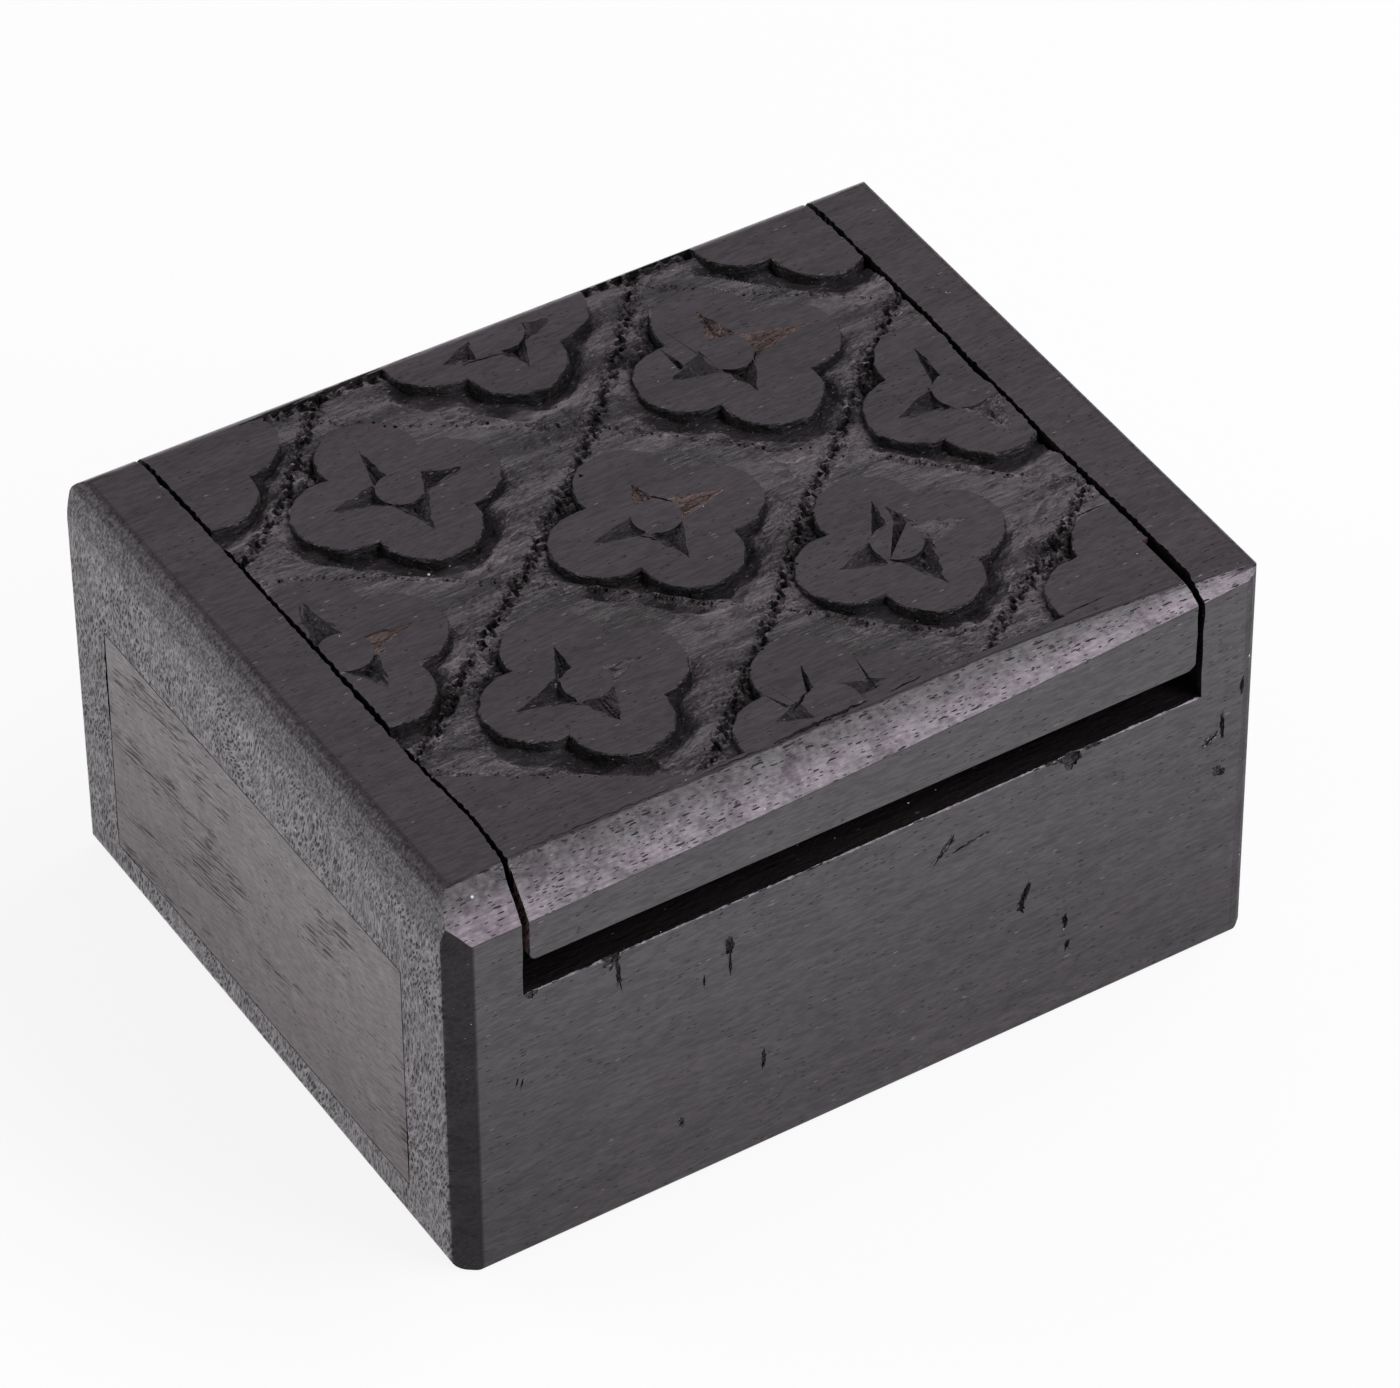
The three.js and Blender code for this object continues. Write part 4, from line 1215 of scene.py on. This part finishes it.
def dark_marks(tree, along, in_mm, where, end, pore_share, streaky):
    """How black the marks make a spot, and how deep they sink, both from 0 to 1."""
    bevel = where["Bevel"]
    crowd = ramp(tree, noise(tree, stretched(tree, along, (0.07, 0.1, 0.1))), 0.35, 0.65, 0.3, 1.6)
    share = sum_of(tree, product(tree, crowd, pore_share), product(tree, bevel, 0.35))
    small = use(tree, pores, Place=along, Long=1.0, Wide=0.26, Share=share)["Mask"]
    large = use(tree, pores, Place=along, Long=1.9, Wide=0.36, Share=product(tree, bevel, 0.3))
    pore = maths(tree, "MAXIMUM", product(tree, small, 0.7), product(tree, large["Mask"], 0.9))
    strokes = product(tree, use(tree, ends, Place=in_mm)["Dark"], end)
    sunk = maths(tree, "MAXIMUM", pore, strokes)
    black = maths(tree, "MAXIMUM", pore, product(tree, strokes, 0.9))
    if streaky:
        streak = noise(tree, stretched(tree, along, (0.24, 3.2, 3.2)), 3, 0.6)
        cluster = noise(tree, stretched(tree, along, (0.04, 0.16, 0.16)), 2)
        limit = ramp(tree, cluster, 0.4, 0.62, 0.28, 0.49)
        streak = ramp(tree, less(tree, limit, streak), -0.01, 0.05)
        black = maths(tree, "MAXIMUM", black, product(tree, streak, streaky))
    return black, sunk

# %% [markdown]
# The third function gives the relief that the light catches: fibres, sunken marks, the waves
# that the plane left on the bevel, and rags where the wood was torn.

# %% The relief of the wood
# Heights in millimetres
FIBRE_HEIGHT, PORE_DEPTH, PLANE_WAVES, WAVES = 0.03, 0.11, 0.45, 0.2


def relief_of(tree, in_mm, where, fibre, lumps, sunk, torn_height):
    height = less(tree, product(tree, fibre, FIBRE_HEIGHT), product(tree, sunk, PORE_DEPTH))
    waves = noise(tree, stretched(tree, in_mm, (0.12, 0.2, 0.2)))
    height = sum_of(tree, height, product(tree, lumps, where["Bevel"], PLANE_WAVES),
                    product(tree, waves, WAVES))
    if torn_height:
        rags = noise(tree, stretched(tree, in_mm, (1.4, 1.9, 1.9)), 5, 0.7)
        strands = noise(tree, stretched(tree, in_mm, (0.3, 2.0, 2.0)), 3, 0.6)
        height = sum_of(tree, height, product(tree, rags, torn_height),
                        product(tree, strands, torn_height))
    bump = put(tree, "ShaderNodeBump", {"Height": height, "Distance": MM, "Strength": 1.0})
    return bump.outputs[0]


# %% [markdown]
# The fourth function puts them together. It first places the grain, then mixes the colour from
# the bottom up: body, painted highlights and sheen, painted shade on the chamfers and in the
# hollows, torn fibres, marks and dust. The wax follows the same masks, because a mark that is
# black is also bare.

# %% The wood's finishes
WAX_ROUGHNESS = 0.28
# The pale fibres lie where the pores would lie this many millimetres away
ELSEWHERE = (7.3, 3.1, 5.7)
# How much paler the painted sheen makes the ends, and the painted highlights make the bevel's
# foot, the bevel and the rounded rear edge
END_PAINTED_SHEEN, FOOT_PAINTED_HIGHLIGHT, BEVEL_PAINTED_HIGHLIGHT, REAR_PAINTED_HIGHLIGHT = 1.65, 3.4, 0.2, 0.9
# How much of the wax is gone at the bevel's head, on the left arris and on the chamfers
HEAD_WORN, ARRIS_WORN, CHAMFER_BARE = 0.45, 0.65, 0.6
# How far the upright chamfers and the hollows are painted black as shade
CHAMFER_PAINTED_SHADE, HOLLOW_PAINTED_SHADE = 0.5, 0.85


def wood(material, dark, light, wax=0.9, contrast=1.0, grain_turn=0.0, pore_share=0.2,
         torn_share=0.03, torn_height=0.0, hollow_shade_depths=None, streaky=0.0, cross=1.0, shine=0.18):
    material.use_nodes = True
    tree = material.node_tree
    shader = tree.nodes["Principled BSDF"]
    place = put(tree, "ShaderNodeTexCoord")
    in_mm = stretched(tree, place.outputs["Object"], (1000, 1000, 1000))
    along = in_mm
    if grain_turn:
        for turn in ((0, 0, math.radians(90)), (0, math.radians(grain_turn), 0)):
            along = put(tree, "ShaderNodeMapping", {"Vector": along, "Rotation": turn}).outputs[0]
    where = use(tree, spots, Place=in_mm, Facing=place.outputs["Normal"])
    left_alone = without(tree, product(tree, where["Shoulder"], 0.75))
    end = product(tree, where["End"], left_alone, cross)

    tone, fibre = fibres(tree, along, contrast)
    lumps = noise(tree, stretched(tree, along, (0.16, 0.3, 0.3)), 3, 0.6)
    black, sunk = dark_marks(tree, along, in_mm, where, end, pore_share, streaky)
    shader_relief = relief_of(tree, in_mm, where, fibre, lumps, sunk, torn_height)

    grains = noise(tree, stretched(tree, along, (0.6, 2.8, 2.8)), 4, 0.65)
    speckle = noise(tree, stretched(tree, in_mm, (2.6, 2.6, 2.6)), 3, 0.7)
    grains = sum_of(tree, ramp(tree, grains, 0.33, 0.67, -0.22, 0.18),
                    product(tree, where["Shoulder"], ramp(tree, speckle, 0.36, 0.64, -0.5, 0.6)))
    stroke_tone = ramp(tree, use(tree, ends, Place=in_mm)["Tone"], 0, 1, -0.3, 0.3)
    patches = ramp(tree, lumps, 0.35, 0.65, 0.6, 1.3)
    # Painted light: the ends are painted paler as sheen; the bevel, its foot and the rounded rear
    # edge are painted paler as highlights
    foot = product(tree, where["Foot"], where["Foot"], FOOT_PAINTED_HIGHLIGHT)
    painted_light = sum_of(tree, product(tree, end, END_PAINTED_SHEEN),
                   product(tree, where["Bevel"], patches, sum_of(tree, foot, BEVEL_PAINTED_HIGHLIGHT)),
                   product(tree, where["Rear"], patches, REAR_PAINTED_HIGHLIGHT))
    uneven = sum_of(tree, grains, product(tree, end, stroke_tone))
    strength = sum_of(tree, 1.0, uneven)
    body = blend(tree, tone, dark, light)
    brightness = product(tree, strength, sum_of(tree, 1.0, painted_light))
    body = vectors(tree, "SCALE", {0: body, "Scale": brightness})
    # Painted shade: the upright chamfers are blended towards black
    body = blend(tree, product(tree, where["Chamfer"], CHAMFER_PAINTED_SHADE), body, PORE_AND_SHADE_BLACK)
    rubbed = ramp(tree, where["Depth"], HEIGHT + 6, 4, 0.5, 1.12)
    rubbed = maths(tree, "MAXIMUM", rubbed, product(tree, end, 0.98))
    rubbed = product(tree, rubbed, ramp(tree, where["Depth"], 3, 1, 1, 0.93))
    worn = product(tree, where["Bevel"], without(tree, where["Foot"]), HEAD_WORN)
    worn = sum_of(tree, worn, product(tree, where["Arris"], ARRIS_WORN))
    waxed = product(tree, strength, rubbed, without(tree, worn), wax)
    # Painted shade: hollows and steep walls are blended towards black and lose their wax
    if hollow_shade_depths:
        fresh = ramp(tree, where["Depth"], 0.02, 0.15, 0.65, 1.0)
        body = vectors(tree, "SCALE", {0: body, "Scale": fresh})
        hollow = ramp(tree, where["Depth"], *hollow_shade_depths)
        hollow = maths(tree, "MAXIMUM", hollow, where["Wall"])
        body = blend(tree, product(tree, hollow, HOLLOW_PAINTED_SHADE), body, PORE_AND_SHADE_BLACK)
        waxed = product(tree, waxed, without(tree, hollow))
    aside = vectors(tree, "ADD", {0: along, 1: ELSEWHERE})
    pale = use(tree, pores, Place=aside, Long=1.1, Wide=0.24, Share=torn_share)["Mask"]
    body = blend(tree, product(tree, pale, 0.7), body, TORN_FIBRE)
    body = blend(tree, black, body, PORE_AND_SHADE_BLACK)
    body = blend(tree, use(tree, dust, Place=in_mm)["Mask"], body, PALE_DUST)
    tree.links.new(body, shader.inputs["Base Color"])

    lost = product(tree, where["Chamfer"], CHAMFER_BARE)
    lost = maths(tree, "ADD", black, lost, clamp=True)
    waxed = product(tree, waxed, without(tree, lost))
    tree.links.new(waxed, shader.inputs["Coat Weight"])
    shader.inputs["Coat Roughness"].default_value = WAX_ROUGHNESS
    shader.inputs["Specular IOR Level"].default_value = shine
    tree.links.new(ramp(tree, lumps, 0.3, 0.7, 0.5, 0.65), shader.inputs["Roughness"])
    tree.links.new(shader_relief, shader.inputs["Normal"])
    tree.links.new(shader_relief, shader.inputs["Coat Normal"])
    return material


sanded, gouged, deep, raw, inside, nicked, sawn_through = finishes
wood(sanded, (0.0165, 0.0118, 0.0165, 1), (0.035, 0.0262, 0.0345, 1))
wood(sawn_through, (0.003, 0.0024, 0.0026, 1), (0.014, 0.011, 0.011, 1), wax=0.0,
     torn_height=0.2, cross=0.0, shine=0.1)
# The gouged ground is painted black as shade in its hollows and on its steep walls
wood(gouged, (0.019, 0.014, 0.018, 1), (0.122, 0.103, 0.116, 1), wax=0.75, contrast=2.4,
     pore_share=0.3, torn_share=0.35, torn_height=0.65, hollow_shade_depths=(0.3, 0.95), cross=0.0)
# The deep finish is painted near black as shade, for the walls, pits, dots and cuts it lines
wood(deep, (0.004, 0.003, 0.004, 1), (0.034, 0.029, 0.033, 1), wax=0.15, contrast=2.0,
     torn_share=0.3, torn_height=0.65, cross=0.0)
wood(raw, (0.022, 0.0135, 0.0135, 1), (0.15, 0.105, 0.1, 1), wax=0.3, contrast=2.2,
     torn_share=0.3, torn_height=0.65, cross=0.0)
wood(inside, (0.03, 0.019, 0.018, 1), (0.08, 0.053, 0.05, 1), wax=0.0, torn_height=0.1)
wood(nicked, (0.012, 0.0095, 0.012, 1), (0.1, 0.085, 0.095, 1), wax=0.4, contrast=2.4,
     torn_share=0.35, torn_height=0.6, cross=0.0, shine=0.14)
# The end boards' pale colour is partly their own wood and partly painted sheen, standing in for
# the bright reflection on the left end
let_in = wood(bpy.data.materials.new("end_board_wood"), (0.05, 0.0335, 0.039, 1),
              (0.092, 0.06, 0.0685, 1), contrast=1.3, grain_turn=10, pore_share=0.12,
              streaky=0.8, cross=0.0)

# %% [markdown]
# The end boards keep their measured shape. Their grain runs from front to back and climbs a
# little towards the front. The pins are plain bright steel, drawn through a die, with fine rings
# left by the drawing. The plugs over them are end grain, cut flush, and can hardly be found.

# %% The boards, the pins and the plugs
def drawn_steel():
    material = bpy.data.materials.new("drawn_steel")
    material.use_nodes = True
    tree = material.node_tree
    shader = tree.nodes["Principled BSDF"]
    place = put(tree, "ShaderNodeTexCoord")
    rings = noise(tree, stretched(tree, place.outputs["Object"], (6000, 300, 300)), 4)
    tree.links.new(blend(tree, rings, (0.3, 0.29, 0.29, 1), (0.45, 0.44, 0.44, 1)),
                   shader.inputs["Base Color"])
    tree.links.new(ramp(tree, rings, 0.3, 0.7, 0.24, 0.4), shader.inputs["Roughness"])
    shader.inputs["Metallic"].default_value = 1.0
    relief = put(tree, "ShaderNodeBump", {"Height": rings, "Distance": 0.02 * MM})
    tree.links.new(relief.outputs[0], shader.inputs["Normal"])
    return material


steel = drawn_steel()


def refinish(name, material):
    slots = nodes[name].data.materials
    slots.clear()
    slots.append(material)


for side in ("left", "right"):
    refinish(side + "_end_panel", let_in)
    refinish(side + "_pivot_pin", steel)
    refinish(side + "_pin_plug", sanded)

# %% [markdown]
# # The studio
# The floor is plain and pale. The camera and every reflection see it nearly white, and it still
# takes the shadow of the box.

# %% The floor
floor = added(bpy.ops.mesh.primitive_plane_add, size=6, location=(0, 0, 0))
floor.name = "floor"
floor_paint = bpy.data.materials.new("floor_paint")
floor_paint.use_nodes = True
tree = floor_paint.node_tree
tree.nodes.remove(tree.nodes["Principled BSDF"])
matt = put(tree, "ShaderNodeBsdfDiffuse", {"Color": (0.8, 0.8, 0.8, 1)})
white = put(tree, "ShaderNodeEmission", {"Color": (1, 1, 1, 1), "Strength": 1.0})
ray = put(tree, "ShaderNodeLightPath")
seen = maths(tree, "MAXIMUM", ray.outputs["Is Camera Ray"], ray.outputs["Is Glossy Ray"])
mixed = put(tree, "ShaderNodeMixShader", {0: product(tree, seen, 0.87), 1: matt.outputs[0],
                                          2: white.outputs[0]})
tree.links.new(mixed.outputs[0], tree.nodes["Material Output"].inputs["Surface"])
floor.data.materials.append(floor_paint)

# %% [markdown]
# A pale sky gives a third of the light. The rest comes from two softboxes. A long one hangs over
# the front right corner, just where the planed bevel mirrors it, and a smaller one stands behind
# at the left, where the left end mirrors it. A softbox is given by how far it is swung to the
# right and then to the front from straight above the box, about a point under the lid, and by
# its glow, where a sheet of white paper in plain light glows 1.

# %% The sky and the softboxes
sky = bpy.data.worlds.new("pale_sky")
bpy.context.scene.world = sky
sky.use_nodes = True
sky_light = sky.node_tree.nodes["Background"].inputs
sky_light["Color"].default_value = (1, 1, 1, 1)
sky_light["Strength"].default_value = 0.36
SWUNG_ABOUT = Vector((0, 0, 0.04))


def softbox(name, rightwards, forwards, away, size, glow):
    """Angles are in degrees, and a negative one swings it the other way."""
    right, front = math.radians(rightwards), math.radians(forwards)
    towards = Vector((math.sin(right), -math.cos(right) * math.sin(front),
                      math.cos(right) * math.cos(front)))
    made = added(bpy.ops.object.light_add, type="AREA", location=towards * away + SWUNG_ABOUT)
    made.name = name
    made.visible_camera = False
    made.data.shape = "RECTANGLE"
    made.data.size, made.data.size_y = size
    made.data.energy = glow * math.pi * size[0] * size[1]
    made.rotation_mode = "YXZ"
    made.rotation_euler = (front, right, 0)
    return made


softbox("front_right_softbox", 33.7, 32.6, 1.2, (0.55, 2.2), 5.3)
softbox("left_rear_softbox", -34.3, -59.5, 1.2, (0.74, 0.74), 2.4)

# %% [markdown]
# The camera stands where the photographer stood: to the left of the front, looking down at about
# forty-two degrees through a long lens. Its place was worked out from the corners of the box.

# %% The camera
AZIMUTH, ELEVATION, ROLL = math.radians(-31.7903), math.radians(42.2077), math.radians(-0.6111)
FOCAL_PIXELS, IMAGE_WIDTH, SENSOR = 8834.85, 1400, 36
SHIFT_RIGHT, SHIFT_UP, AWAY = -0.00371, -0.02036, 0.96337

back = np.array([math.sin(AZIMUTH) * math.cos(ELEVATION),
                 -math.cos(AZIMUTH) * math.cos(ELEVATION), math.sin(ELEVATION)])
side = np.cross(-back, [0, 0, 1])
side /= np.linalg.norm(side)
upright = np.cross(side, -back)
right_hand = math.cos(ROLL) * side + math.sin(ROLL) * upright
upward = -math.sin(ROLL) * side + math.cos(ROLL) * upright
place = -(SHIFT_RIGHT * right_hand + SHIFT_UP * upward - AWAY * back)

camera = added(bpy.ops.object.camera_add)
axes = np.column_stack([right_hand, upward, back])
camera.matrix_world = Matrix([[*axes[i], place[i]] for i in range(3)] + [[0, 0, 0, 1]])
camera.data.sensor_width = SENSOR
camera.data.lens = FOCAL_PIXELS / IMAGE_WIDTH * SENSOR
camera.data.clip_start = 0.01
bpy.context.scene.camera = camera
bpy.context.scene.view_settings.view_transform = "Standard"
print("camera at", [round(float(c), 4) for c in place])
